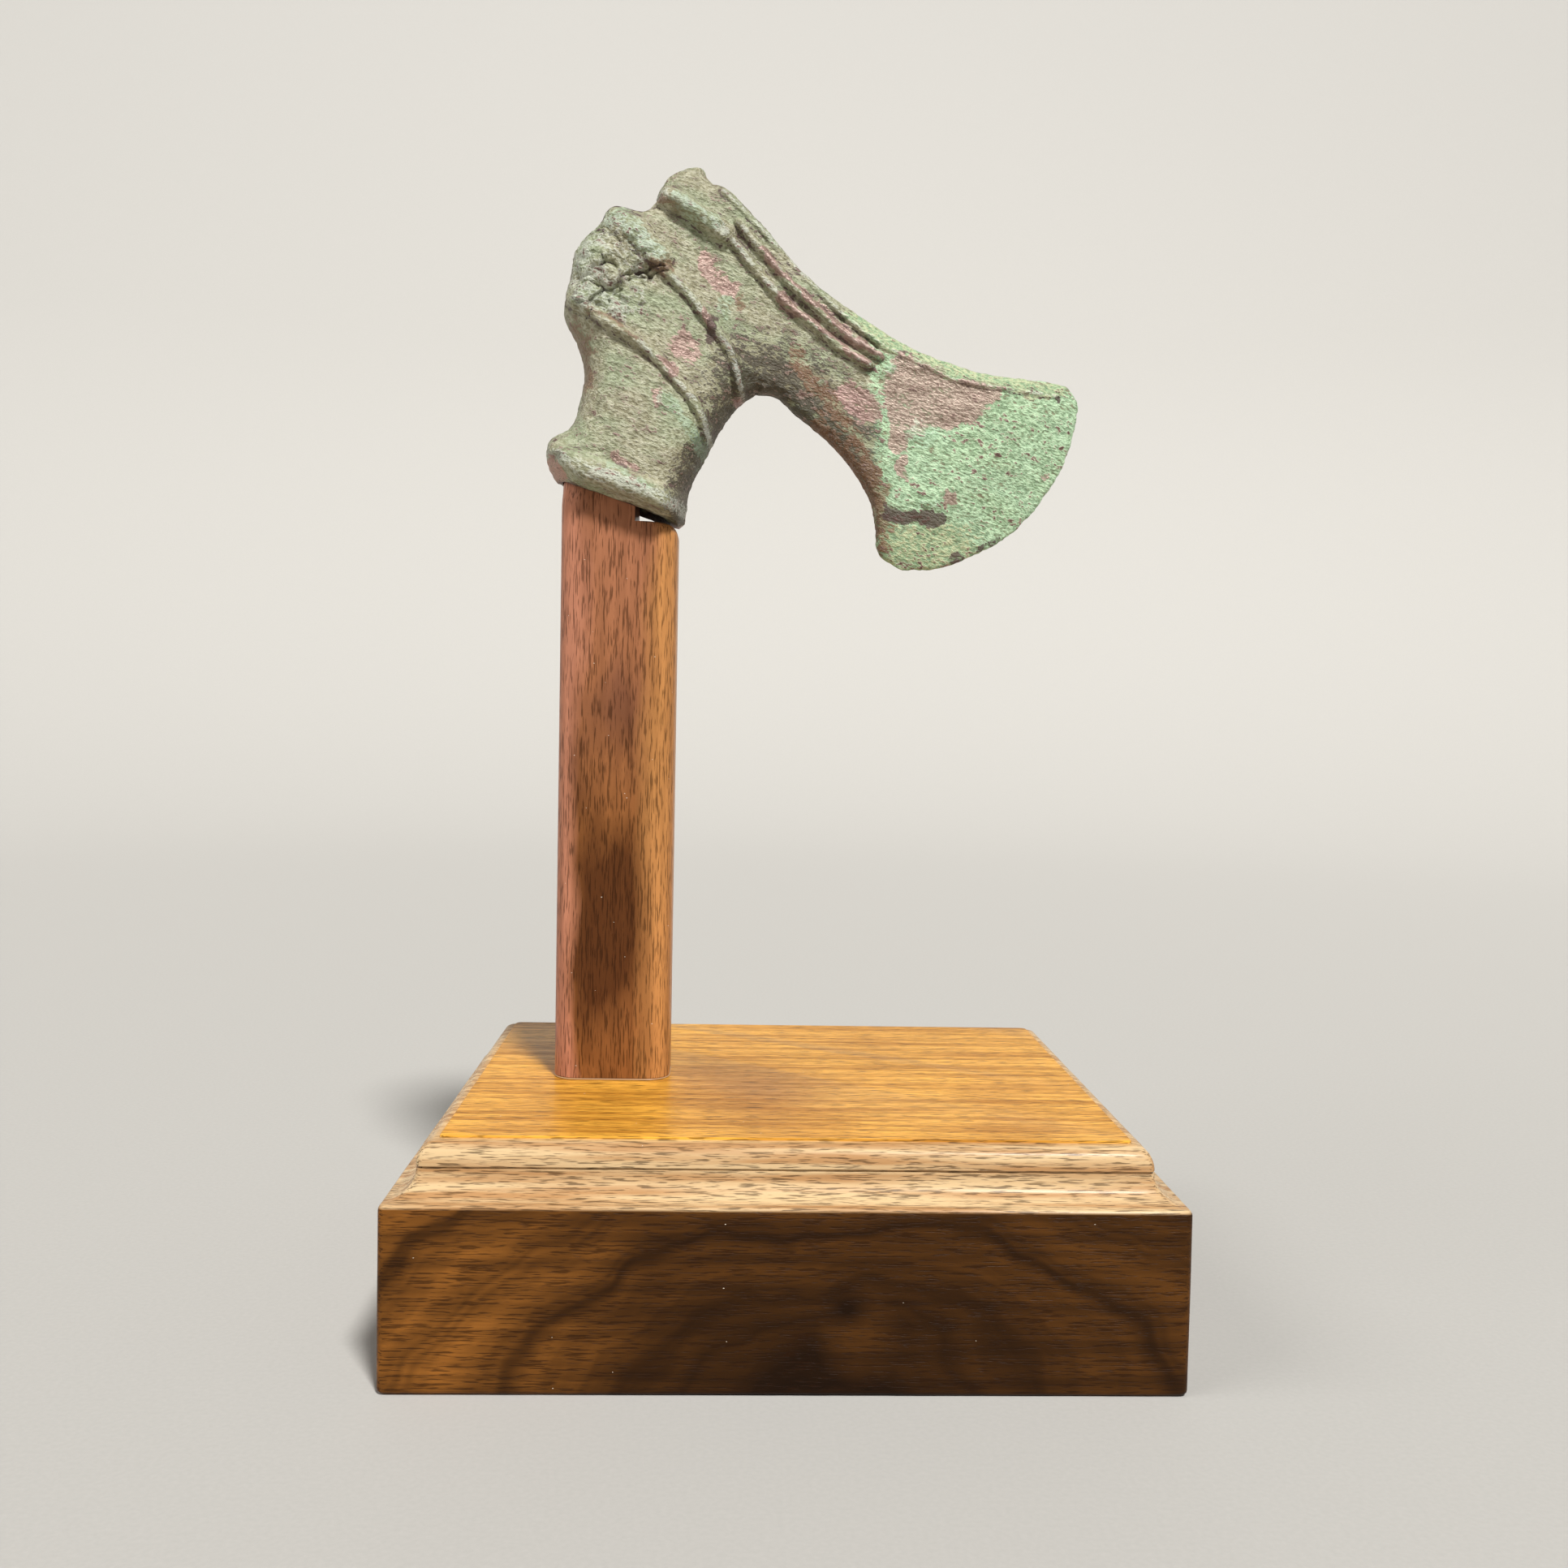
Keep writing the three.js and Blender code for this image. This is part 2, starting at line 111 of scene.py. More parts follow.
# Outline of the casting, the same stretches as the CAD form: how far in the side turns over, the
# share of the thickness left at the stretch, and [x, z] knots in mm from the seat of the mouth. The
# belly turns over more softly than in the CAD form.
OUTLINE = {
    "mouth": (4.3, 0.8, [(15.2, -1.0), (2.8, 3.0), (-8, 6.4), (-17.8, 10.2)]),
    "flank": (11, 0, [(-17.8, 10.2), (-20.4, 15), (-19.6, 20.6), (-14.2, 24.4), (-12, 31), (-11, 38),
                      (-12.8, 45), (-16.2, 52), (-16.2, 57), (-15, 62), (-13.6, 69.2), (-7.4, 76.2)]),
    "crown": (6, 0, [(-7.4, 76.2), (-4.2, 80.4), (4.6, 80), (6.5, 81.4), (7.2, 84.4), (10, 88.2),
                     (14.4, 90.8), (18.3, 91.2), (19.8, 89), (21.5, 87.2)]),
    "back": (5.5, 0.4, [(21.5, 87.2), (25.2, 85.6), (34.5, 76.7), (45.4, 64.9), (59.3, 54.9),
                        (69.8, 48.8), (78.8, 44.8), (92.7, 40.9), (108.3, 39.4), (114.6, 38.4)]),
    "edge": (17, 0, [(114.6, 38.4), (117.2, 34.2), (117, 29.2), (113.8, 17.6), (109.5, 10.2),
                     (100.4, -0.3), (92.8, -5), (82.5, -9.4), (72, -10.5)]),
    "belly": (6, 0.2, [(72, -10.5), (66.2, -6.4), (65, 0.7), (62.9, 8.8), (54.6, 20), (43.8, 29.1),
                       (38.3, 33.6), (33.2, 34)]),
    "throat": (9, 0, [(33.2, 34), (29.2, 31), (25, 25.8), (21.2, 18.4), (16.6, 9), (15.8, 3.6),
                      (15.2, -1.0)]),
}

# Half thickness of the casting: it thins from the socket to the blade between two distances past a
# point on the inner rib, and the socket itself thins by a share between two heights
THINNING = (-22, 26)
THINNING_MIDDLE = (16.8, 49.7)
THINNING_ASPECT = (0.93, 0.37)
SOCKET_TAPER = 0.18
SOCKET_TAPER_REACH = (18, 82)
# Raised work fades out over this distance from the outline
WORK_FADE = 2
# Height and size of the slow warp of both sides, and the least half thickness inside the rim
WARP = 0.3
WARP_SIZE = 11
LEAST_HALF = 0.4
# Centre of the rough butt and its reach along x and z
BUTT_CENTRE = (-5, 61)
BUTT_REACH = (13, 14)

# Shaft hole: z, how far the left wall leans in, right wall, how much flatter
HOLE = [(-14, 0, 11.6, 0), (9, 0, 11.4, 0), (24.5, 4.9, 10.8, 0.9), (31, 7, 10.3, 1.6),
        (43, 8, 9.3, 2.2), (65, 8.6, 7.3, 3.2), (98, 9.8, 5.8, 4.2)]
# Half depth of the hole at its mouth, space between its wall and the post, and how square it is: the
# power of its superellipse
HOLE_HALF = 10.35
HOLE_CLEARANCE = 0.35
HOLE_SQUARENESS = 3.2

# Raised work on both sides: height, half width, points
COLLAR = (3.4, 4.3, [(-19.6, 15.6), (-8, 11.2), (3.4, 7.2), (14.8, 3.2)])
RIBS = [
    (1.9, 1.7, [(-13.6, 54.4), (-9, 51.8), (-1.1, 46.6), (6.3, 42), (13.5, 34.6), (19.5, 26.7),
                (21.8, 20.3)]),
    (1.9, 1.7, [(5.9, 65.6), (12.9, 60), (18.1, 54.5), (22.9, 48.2), (26.3, 43.2), (28.8, 36.2), (30, 32)]),
    (1.7, 3.4, [(-7, 76.4), (1.5, 73), (5, 69.4), (8.6, 66)]),
    (3.1, 3.4, [(5, 82.8), (9.9, 81.6), (17.7, 77.6), (24.3, 73.4)]),
]
RIDGES = [
    (0.9, 1.25, [(24, 84.4), (29, 80.2), (36.3, 73.1), (46.9, 62.5), (55.5, 54.2), (65.2, 46.8)]),
    (1.6, 1.5, [(28, 76.4), (33.5, 70.2), (41.7, 61.4), (48.7, 55), (56.5, 48.9), (64.8, 44)]),
    (1.6, 1.5, [(26.6, 71.4), (31.7, 65.6), (38.7, 58.3), (47.2, 51.4), (54.5, 46), (61.9, 41.4)]),
    (0.5, 0.9, [(65.2, 46.8), (74.5, 43), (84.7, 38.7), (100.1, 36.3), (111.4, 35.6)]),
]

# Worn forms on the front: x, z, radius, height (a hollow is negative)
LUMPS = [(-8, 64, 5.4, 1.7), (-3.2, 60.1, 3.6, 1.8), (-10.7, 56.2, 4.2, 1.9), (-14.4, 53.3, 2.6, 1.4),
         (-4, 69, 5, 0.8), (0.4, 66, 4.2, 0.9), (3.6, 61.4, 5, -0.7), (-1.6, 55.6, 3.2, -0.9),
         (-6, 53, 3, -0.6), (-12.4, 60, 2.4, -0.7), (24.5, 74.8, 1.8, -0.8), (-17.4, 18.4, 2.6, 0.9)]

# Cracks and flake edges on the front: depth, half width, points
CRACKS = [
    (1.3, 0.55, [(-1.9, 57.4), (-0.7, 60.2), (1.4, 61.6), (4.2, 62), (6.6, 63.6), (9.6, 63.4)]),
    (0.9, 0.45, [(0.4, 59.4), (2.6, 60.7), (5.2, 60.6), (7.4, 62), (10.4, 62.2)]),
    (0.7, 0.4, [(5.4, 59.2), (6.2, 60.6), (5, 61.6)]),
    (0.8, 0.45, [(-6, 62.6), (-4.6, 63.8), (-2.4, 62.8), (-1.2, 60.6), (-2, 58), (-4.4, 56.6), (-6.6, 57.9)]),
    (0.8, 0.4, [(-13.8, 59.4), (-11.4, 58.6), (-9.3, 58.9), (-6.9, 57.6)]),
    (1.0, 0.5, [(-5.8, 56.6), (-7.4, 54.9), (-9.6, 53.6), (-12, 53.3), (-13.4, 54.4)]),
    (0.8, 0.35, [(-8.9, 52.8), (-8.5, 51.2), (-9.6, 49.7)]),
    (0.7, 0.4, [(-8.5, 66.2), (-6.3, 65.4), (-5.4, 63.6)]),
    (0.6, 0.45, [(-9.6, 72.4), (-4.6, 71.4), (0.2, 67.6), (3.4, 65.4)]),
    (0.9, 0.55, [(53.9, 54.2), (55.6, 52.8)]),
    (1.2, 0.7, [(61.2, 48.6), (64, 46.3)]),
    (0.6, 0.4, [(57.6, 50.6), (59.6, 49.1)]),
    (0.6, 0.4, [(43.8, 57.6), (46.2, 55.4)]),
]

# Bare purple-brown metal on the front: points, half width. In the hollow patches the crust is lost
# and the surface lies a little lower, and the rubbed ones are level with the crust.
HOLLOW_BARE = [
    ([(20, 66.8), (22.6, 62.4), (24.4, 60.4)], 2.6),
    ([(15.3, 43.2)], 3.1),
    ([(19.2, 53.4), (21.6, 49.8)], 0.9),
    ([(9.4, 39.6), (12.6, 36)], 1.2),
    ([(8.9, 31.3)], 1.9),
    ([(-1.6, 14.8), (3.2, 13.4)], 1.1),
    ([(29.2, 31.4)], 1.2),
    ([(70, 36), (78, 34), (88, 32.6)], 5.4),
    ([(72, 28.6), (80, 28.4), (87, 29.4)], 3.4),
    ([(69.6, 31), (69.8, 21.4)], 2.2),
    ([(56, 33.6), (62, 29.4)], 3.0),
    ([(71.6, 17.4), (71.8, 14.4)], 2.0),
    ([(83.4, 8.8), (83.6, 6.8)], 1.6),
]
RUBBED_BARE = [
    ([(69, 43.2), (74, 40), (84, 36.6), (95, 34.6)], 2.2),
    ([(33.5, 70.2), (41.7, 61.4), (56.5, 48.9), (64.8, 44)], 1.1),
    ([(38.7, 58.3), (47.2, 51.4), (61.9, 41.4)], 0.9),
    ([(109.4, 13.8)], 1.3),
]
# Fresh-looking break at the left end of the collar
FRACTURE = [([(-19.4, 12.6), (-17.4, 10.6)], 2.4)]
# Dark brown stains on the front
DARK = [
    ([(68.4, 4.6), (74, 3.2), (81.8, 2.4)], 1.7),
    ([(87.3, -7)], 2.2),
    ([(93, -4.6), (97, -2.2)], 0.9),
    ([(111.2, 34.2)], 1.0),
    ([(22, 50.6), (21.4, 46.6)], 1.4),
]
# Orange-brown earth in the hollows
EARTH = [
    ([(43, 44), (46.5, 38), (50, 33.6), (56, 26.8), (60.6, 18.6), (65.4, 9.6), (67, 2)], 2.1),
    ([(-10.4, 34), (-10.6, 42), (-13, 48)], 2.6),
    ([(27.6, 58.6), (28.6, 54.6)], 1.1),
    ([(6.6, 63.2), (11, 63)], 1.4),
    ([(7.6, 81.2), (13, 78.6)], 0.9),
    ([(-9, 52), (-3, 48.6), (3.4, 44.6)], 0.8),
    ([(67.2, 1.6)], 2.0),
    ([(66, -4), (65.4, 2), (62.4, 10), (54, 20.6), (48, 26)], 2.4),
]
# Olive crust of the bevel along the back
BEVEL = [([(58, 53.4), (66, 48.4), (75, 44.8), (85, 41), (100, 38.6), (112, 37.4)], 2.3)]
# Raised turquoise crust: points, half width
TURQUOISE = [
    ([(74.6, 25), (78.6, 23.4)], 2.2),
    ([(77.6, 6.8), (80.6, 6.2)], 1.1),
    ([(49, 36.7)], 0.9),
    ([(10.6, 30.6), (13, 27.6), (16.5, 24.6), (20.2, 19.4), (21, 15.6)], 1.8),
    ([(-2.8, 12), (0.4, 11.2)], 1.2),
    ([(4.6, 9.8), (8.4, 8)], 1.0),
    ([(12, 80.6), (17.7, 77.6), (22, 75)], 1.9),
    ([(-2, 74.8), (3.4, 70.4), (7.6, 66.8)], 2.4),
    ([(66.4, 40.2)], 1.3),
    ([(24.4, 57), (25.4, 51.4)], 1.2),
]


# Properties that a user would change


def length(name, mm, description):
    """A size that is given here in mm and kept in metres."""
    return bpy.props.FloatProperty(name=name, description=description, default=mm * MM, unit="LENGTH",
                                   precision=5)


def hex_to_linear(code):
    """sRGB hex code to the linear colour that Blender's sockets take."""
    parts = [int(code[i:i + 2], 16) / 255 for i in (1, 3, 5)]
    return tuple(v / 12.92 if v <= 0.04045 else ((v + 0.055) / 1.055) ** 2.4 for v in parts) + (1.0,)


def colour(name, code, description):
    """A colour that is given here as an sRGB hex code."""
    return bpy.props.FloatVectorProperty(name=name, description=description, default=hex_to_linear(code),
                                         size=4, subtype="COLOR", min=0, max=1)


class AxeHeadCasting(bpy.types.PropertyGroup):
    """Sizes of the bronze casting"""
    socket_half: length("Socket half thickness", 13.4, "Half thickness of the socket at its mouth")
    blade_half: length("Blade half thickness", 4.2, "Half thickness of the blade before it thins")
    edge_half: length("Edge half thickness", 0.5, "Half thickness left at the cutting edge")
    rim_width: length("Rim", 0.9, "How far in from the outline the rim turns round")
    lattice: length("Mesh step", 0.42, "Distance between the nodes of the mesh")
    wander: length("Wander", 0.35, "How far the raised lines stray from their drawn course")
    coarse_size: length("Swell size", 4.5, "Distance between the slow swells of the crust")
    coarse_height: length("Swell height", 0.45, "Height of the slow swells of the crust")
    grain_size: length("Grain size", 1.25, "Distance between the wrinkles of the crust")
    grain_height: length("Grain height", 0.42, "Height of the wrinkles of the crust")
    seed: bpy.props.IntProperty(name="Seed", description="Fixes the random crust", default=4)


class AxeHeadPatina(bpy.types.PropertyGroup):
    """Colours of the corroded bronze"""
    olive: colour("Olive", "#959070", "Sheltered crust of the socket")
    dust: colour("Dust", "#d2ceb6", "Dusty tops of the crust")
    blade: colour("Blade green", "#cbe6bd", "Tops of the green crust of the blade")
    blade_deep: colour("Blade deep green", "#8fae84", "Hollows of the green crust of the blade")
    blade_yellow: colour("Blade yellow", "#c6cba0", "Yellow-green crust at the tip of the blade")
    # Rubbed colour: partly the worn grey-blue of the raised tops, partly a painted highlight on them
    rubbed_and_highlit: colour("Rubbed", "#cfd3c5", "Grey-blue tops of the ribs, the crest and the collar")
    turquoise: colour("Turquoise", "#b0d0b8", "Raised turquoise crust")
    bare: colour("Bare metal", "#825e58", "Purple-brown metal where the crust is lost")
    bare_light: colour("Bare metal, light", "#bb9c92", "Rubbed tops of the bare metal")
    fracture: colour("Fracture", "#b98e7c", "Pinkish metal of the broken end of the collar")
    # Grime colour: real grime in the blotches of the socket, and also painted shade under the neck and at the
    # throat
    grime_and_shade: colour("Grime", "#372c1c", "Dark grime on the sheltered underside")
    earth: colour("Earth", "#7c5638", "Orange-brown earth in the hollows")
    # Real stains and crack depths, and painted shade in the crust's hollows, the shaft hole and at the feet
    # of raised work
    darkening: colour("Stain", "#54403a", "Dark brown stains and the depths of cracks")


class AxeHeadStand(bpy.types.PropertyGroup):
    """Sizes and colours of the walnut stand"""
    mould_setback: length("Moulding setback", 11.1, "How far in the moulding reaches from the side")
    mould_drop: length("Moulding drop", 13.1, "How far down the moulding reaches from the top")
    quirk: length("Quirk", 0.7, "Small step above the moulding")
    ovolo_width: length("Ovolo width", 3.6, "Width of the convex part of the moulding")
    ovolo_height: length("Ovolo height", 5.0, "Height of the convex part of the moulding")
    groove: length("Groove", 0.65, "Groove between the two parts of the moulding")
    arris: length("Arris", 0.7, "Flat left at the outer edge of the moulding")
    corner_radius: length("Block corner radius", 1.6, "Radius of the block's upright corners")
    post_radius: length("Post corner radius", 6.0, "Radius of the post's corners")
    tongue_width: length("Tongue width", 19.0, "Width of the tongue beside the notch")
    notch_ease: length("Notch easing", 3.4, "Radius of the worn corner of the notch")
    hole_clearance: length("Tongue clearance", 0.4, "Space between the tongue and the shaft hole")
    pore_length: length("Pore length", 5.0, "Length of the pores in the walnut")
    pore_width: length("Pore width", 0.34, "Width of the pores in the walnut")
    # Top and moulding colours are lighter copies of the walnut: painted light
    top_lit: colour("Top, light", "#e4a640", "Light wood of the top")
    top_dark: colour("Top, dark", "#935818", "Darker streaks of the top")
    moulding_lit: colour("Moulding", "#c9ac82", "Pale wood of the moulding")
    pore: colour("Pores", "#261203", "Dark pores")
    # Side colours are darker copies of the same walnut: painted shade over its real rings
    side_shaded: colour("Side, light", "#935c24", "Light wood of the block's sides")
    side_dark: colour("Side, dark", "#150801", "Dark rings of the block's sides")
    # Red of the post's left corner: partly the wood's own, partly a painted reflection
    post_red_and_reflection: colour("Post, red", "#c48468", "Reddish wood on the left of the post")
    post_brown: colour("Post, brown", "#8b582f", "Brown wood in the middle of the post")
    post_dark: colour("Post, dark", "#45240e", "Dark clouds in the post")
    # Gold of the post's right corner: partly the wood's own, partly a painted highlight
    post_gold_and_highlight: colour("Post, golden", "#c68a50", "Golden wood on the right of the post")
    dust: colour("Dust", "#d8cbb8", "Pale specks on the wood")
    glue: colour("Glue", "#b08a62", "Bead of old glue round the foot of the post")


class AxeHeadStudio(bpy.types.PropertyGroup):
    """Floor, lights and camera"""
    floor_flat: length("Flat floor", 1200, "Radius of the flat part of the floor")
    floor_bend: length("Floor bend", 1800, "Radius of the curve from the floor to the backdrop")
    backdrop_height: length("Backdrop", 2400, "Height of the backdrop")
    floor_colour: colour("Floor colour", "#b2afa9", "Pale floor")
    sky_colour: colour("Surroundings", "#dcdcda", "Pale surroundings")
    sky_strength: bpy.props.FloatProperty(name="Surroundings strength", default=0.1,
                                          description="Light of the pale surroundings")
    key_strength: bpy.props.FloatProperty(name="Key light", default=4.6,
                                          description="Strength of the key light from above")
    fill_strength: bpy.props.FloatProperty(name="Fill light", default=1.5,
                                           description="Strength of the soft light from the left")
    key_spread: bpy.props.FloatProperty(name="Key light spread", default=math.radians(9), subtype="ANGLE",
                                        description="How soft the shadows of the key light are")


# Curves, distances and noise


def smooth_path(knots, spacing):
    """Centripetal curve through the knots, as points about spacing apart."""
    p = np.array(knots, float)
    if len(p) < 3:
        return p
    p = np.vstack([2 * p[0] - p[1], p, 2 * p[-1] - p[-2]])
    path = [p[1:2]]
    for i in range(1, len(p) - 2):
        p0, p1, p2, p3 = p[i - 1:i + 3]
        gaps = [math.dist(a, b) ** 0.5 for a, b in ((p0, p1), (p1, p2), (p2, p3))]
        t0, t1, t2, t3 = np.concatenate([[0], np.cumsum(gaps)])
        steps = max(3, int(math.dist(p1, p2) / spacing * 2) + 2)
        u = np.linspace(t1, t2, steps)[1:, None]
        a1 = (t1 - u) / (t1 - t0) * p0 + (u - t0) / (t1 - t0) * p1
        a2 = (t2 - u) / (t2 - t1) * p1 + (u - t1) / (t2 - t1) * p2
        a3 = (t3 - u) / (t3 - t2) * p2 + (u - t2) / (t3 - t2) * p3
        b1 = (t2 - u) / (t2 - t0) * a1 + (u - t0) / (t2 - t0) * a2
        b2 = (t3 - u) / (t3 - t1) * a2 + (u - t1) / (t3 - t1) * a3
        path.append((t2 - u) / (t2 - t1) * b1 + (u - t1) / (t2 - t1) * b2)
    path = np.vstack(path)
    along = np.concatenate([[0], np.cumsum(np.linalg.norm(np.diff(path, axis=0), axis=1))])
    places = np.linspace(0, along[-1], max(2, int(along[-1] / spacing) + 1))
    return np.stack([np.interp(places, along, path[:, k]) for k in range(2)], 1)


def nearest_on(points, path):
    """Distance from each point to a path, and the nearest place on it."""
    path = np.asarray(path, float)
    best = np.full(len(points), np.inf)
    place = np.zeros_like(points)
    starts, ends = (path[:-1], path[1:]) if len(path) > 1 else (path, path)
    for a, b in zip(starts, ends):
        span = max(((b - a) ** 2).sum(), 1e-12)
        t = np.clip(((points - a) @ (b - a)) / span, 0, 1)[:, None]
        q = a + t * (b - a)
        d = np.hypot(*(points - q).T)
        nearer = d < best
        best[nearer] = d[nearer]
        place[nearer] = q[nearer]
    return best, place


def value_noise(points, size, seed):
    """Smooth noise from -1 to 1 over 2-D or 3-D points, with blobs about size across."""
    cell = np.asarray(points, float) / size + seed * 17.31
    low = np.floor(cell).astype(np.int64)
    part = cell - low
    part = part * part * (3 - 2 * part)
    axes = cell.shape[1]
    primes = np.array([374761393, 668265263, 362437][:axes])
    total = np.zeros(len(cell))
    for corner in range(2 ** axes):
        bits = np.array([(corner >> k) & 1 for k in range(axes)])
        key = ((low + bits) * primes).sum(1) + seed * 144665
        key = ((key ^ (key >> 13)) & 0x7FFFFFFF) * 1274126177 & 0x7FFFFFFF
        key = (key ^ (key >> 16)) & 0xFFFF
        total += np.prod(np.where(bits, part, 1 - part), axis=1) * (key / 32767.5 - 1)
    return total


def layered_noise(points, size, seed, layers=3):
    """Value noise with finer layers, each half as strong as the one before."""
    total = sum(value_noise(points, size / 2 ** k, seed + 7 * k) / 2 ** k for k in range(layers))
    return total / sum(1 / 2 ** k for k in range(layers))


def smoothstep(low, high, value):
    """0 at low and 1 at high, with a smooth rise between them. High may be the lower number."""
    t = np.clip((value - low) / (high - low), 0, 1)
    return t * t * (3 - 2 * t)


def shaken(points, reach, size, seed):
    """The points moved by noise, which gives ragged outlines."""
    moves = [layered_noise(points, size, seed + k) for k in range(points.shape[1])]
    return points + reach * np.stack(moves, 1)


# The form of the casting, in mm in its own frame: x along the blade, z up, y through the thickness


class CastingForm:
    """Half thickness of the casting over its side view."""

    def __init__(self, sizes):
        self.socket_half = sizes.socket_half / MM
        self.blade_half = sizes.blade_half / MM
        self.edge_half = sizes.edge_half / MM
        self.rim = sizes.rim_width / MM
        self.wander = sizes.wander / MM
        self.stretches = []
        for name, (turn, lip, knots) in OUTLINE.items():
            path = smooth_path(knots, 0.8)
            nick = 0.3 if name == "edge" else 0.16
            self.stretches.append((name, turn, lip, shaken(path, nick, 3.4, 71)))
        self.loop = np.vstack([path for *_, path in self.stretches])
        self.works = [(height, width, smooth_path(points, 1.0)) for height, width, points
                      in [COLLAR] + RIBS + RIDGES]
        self.cracks = [(depth, width, smooth_path(points, 0.6)) for depth, width, points in CRACKS]

    def inside(self, p):
        """Which points lie inside the outline."""
        result = np.zeros(len(p), bool)
        for (ax, az), (bx, bz) in zip(self.loop, np.roll(self.loop, -1, axis=0)):
            if az != bz:
                crosses = (az > p[:, 1]) != (bz > p[:, 1])
                result ^= crosses & (p[:, 0] < ax + (bx - ax) * (p[:, 1] - az) / (bz - az))
        return result

    def nearest_rim(self, p):
        """Distance from each point to the outline, and the nearest place on it."""
        return nearest_on(p, np.vstack([self.loop, self.loop[:1]]))

    def half_thickness(self, p, front):
        """Half thickness at each point, on the front or on the back."""
        along = (p - THINNING_MIDDLE) @ THINNING_ASPECT
        thinned = smoothstep(*THINNING, along)
        socket = self.socket_half * (1 - SOCKET_TAPER * smoothstep(*SOCKET_TAPER_REACH, p[:, 1]))
        half = socket + (self.blade_half - socket) * thinned
        turned = np.ones(len(p))
        rim = np.full(len(p), np.inf)
        for name, turn, lip, path in self.stretches:
            d, _ = nearest_on(p, path)
            rim = np.minimum(rim, d)
            share = np.minimum(d / turn, 1)
            if name == "edge":
                half = self.edge_half + (half - self.edge_half) * share
            else:
                turned = np.minimum(turned, lip + (1 - lip) * np.sqrt(1 - (1 - share) ** 2))
        half = half * turned + self.raised_work(p) * np.minimum(1, rim / WORK_FADE)
        if front:
            half += self.worn_front(p) * turned
            half = self.broken_collar(p, half)
        half += WARP * layered_noise(p, WARP_SIZE, 21 if front else 25) * turned * (1 - 0.6 * thinned)
        half = np.maximum(half, LEAST_HALF)
        return half * np.sqrt(1 - (1 - np.minimum(rim / self.rim, 1)) ** 2)

    def strayed(self, p):
        """The points moved so that the raised lines wander about their drawn course."""
        return shaken(p, self.wander, 7, 3)

    def raised_work(self, p):
        """Collar, ribs and ridges. All but the collar wander and are worn unevenly."""
        bent = self.strayed(p)
        raised = np.zeros(len(p))
        for height, width, path in self.works:
            is_collar = height == COLLAR[0]
            d, _ = nearest_on(p if is_collar else bent, path)
            worn = 1 if is_collar else 1 + 0.2 * value_noise(p, 4, 11)
            share = np.minimum(d / width, 1)
            raised = np.maximum(raised, height * worn * (1 - share ** 2))
        return raised

    def across_cracks(self, p):
        """For each crack its depth, and how many half widths the points are from its ragged middle."""
        ragged = shaken(p, 0.4, 1.3, 41)
        return [(depth, nearest_on(ragged, path)[0] / width) for depth, width, path in self.cracks]

    def butt(self, p):
        """1 on the rough lump at the butt, 0 away from it."""
        return 1 - smoothstep(0.7, 1.15, np.hypot(*((p - BUTT_CENTRE) / BUTT_REACH).T))

    def grime_and_shade_reach(self, p):
        """Where grime and painted shade are laid: towards the belly of the neck and the throat."""
        reach = {"belly": 24, "throat": 9}
        most = np.zeros(len(p))
        for name, *_, path in self.stretches:
            if reach.get(name):
                d, _ = nearest_on(p, path)
                most = np.maximum(most, smoothstep(reach[name], 0, d))
        return most * smoothstep(72, 60, p[:, 0])

    def work_tops_and_feet(self, p):
        """Where the tops of the raised work are, and the strip along its feet where painted shade is laid."""
        bent = self.strayed(p)
        top = np.zeros(len(p))
        foot = np.zeros(len(p))
        for _, width, path in self.works:
            d, _ = nearest_on(bent, path)
            top = np.maximum(top, 1 - smoothstep(0.2, 0.7, d / width))
            foot = np.maximum(foot, 1 - np.minimum(np.abs(d - width) / 0.6, 1))
        return top, foot * (1 - top)

    def worn_front(self, p):
        """Lumps, cracks, the rough butt, raised turquoise and lost flakes."""
        rough = shaken(p, 0.8, 2.6, 31)
        change = np.zeros(len(p))
        for x, z, radius, height in LUMPS:
            share = np.minimum(np.hypot(rough[:, 0] - x, rough[:, 1] - z) / radius, 1)
            change += height * (1 - share ** 2)
        for depth, away in self.across_cracks(p):
            change -= depth * (1 - smoothstep(0.25, 1.1, away))
        change += self.butt(p) * (2.2 * np.abs(layered_noise(rough, 3.4, 51)) - 0.5)
        change += 0.35 * patches(rough, TURQUOISE, 0.4)
        change -= 0.2 * patches(rough, HOLLOW_BARE, 0.15)
        return change

    def broken_collar(self, p, half):
        """The left end of the collar is broken off along a slanting face."""
        allowed = 5.6 + 2.3 * (p[:, 0] + 19) + 0.6 * layered_noise(p, 1.6, 61)
        near = (p[:, 0] < -13) & (p[:, 1] < 15.6) & (p[:, 1] > 7)
        return np.where(near, np.minimum(half, np.maximum(allowed, 4)), half)


def patches(p, drawn, softness):
    """1 inside any of the drawn patches, 0 outside, over an edge of the given softness."""
    most = np.zeros(len(p))
    for points, width in drawn:
        d, _ = nearest_on(p, np.array(points, float))
        most = np.maximum(most, 1 - smoothstep(1 - softness, 1 + softness, d / width))
    return most


# Meshes from numbers


def mesh_object(name, points_mm, faces):
    """A smooth-shaded mesh object from points in mm."""
    mesh = bpy.data.meshes.new(name)
    mesh.from_pydata((np.asarray(points_mm) * MM).tolist(), [], [list(map(int, face)) for face in faces])
    mesh.validate()
    mesh.shade_smooth()
    obj = bpy.data.objects.new(name, mesh)
    bpy.context.scene.collection.objects.link(obj)
    return obj


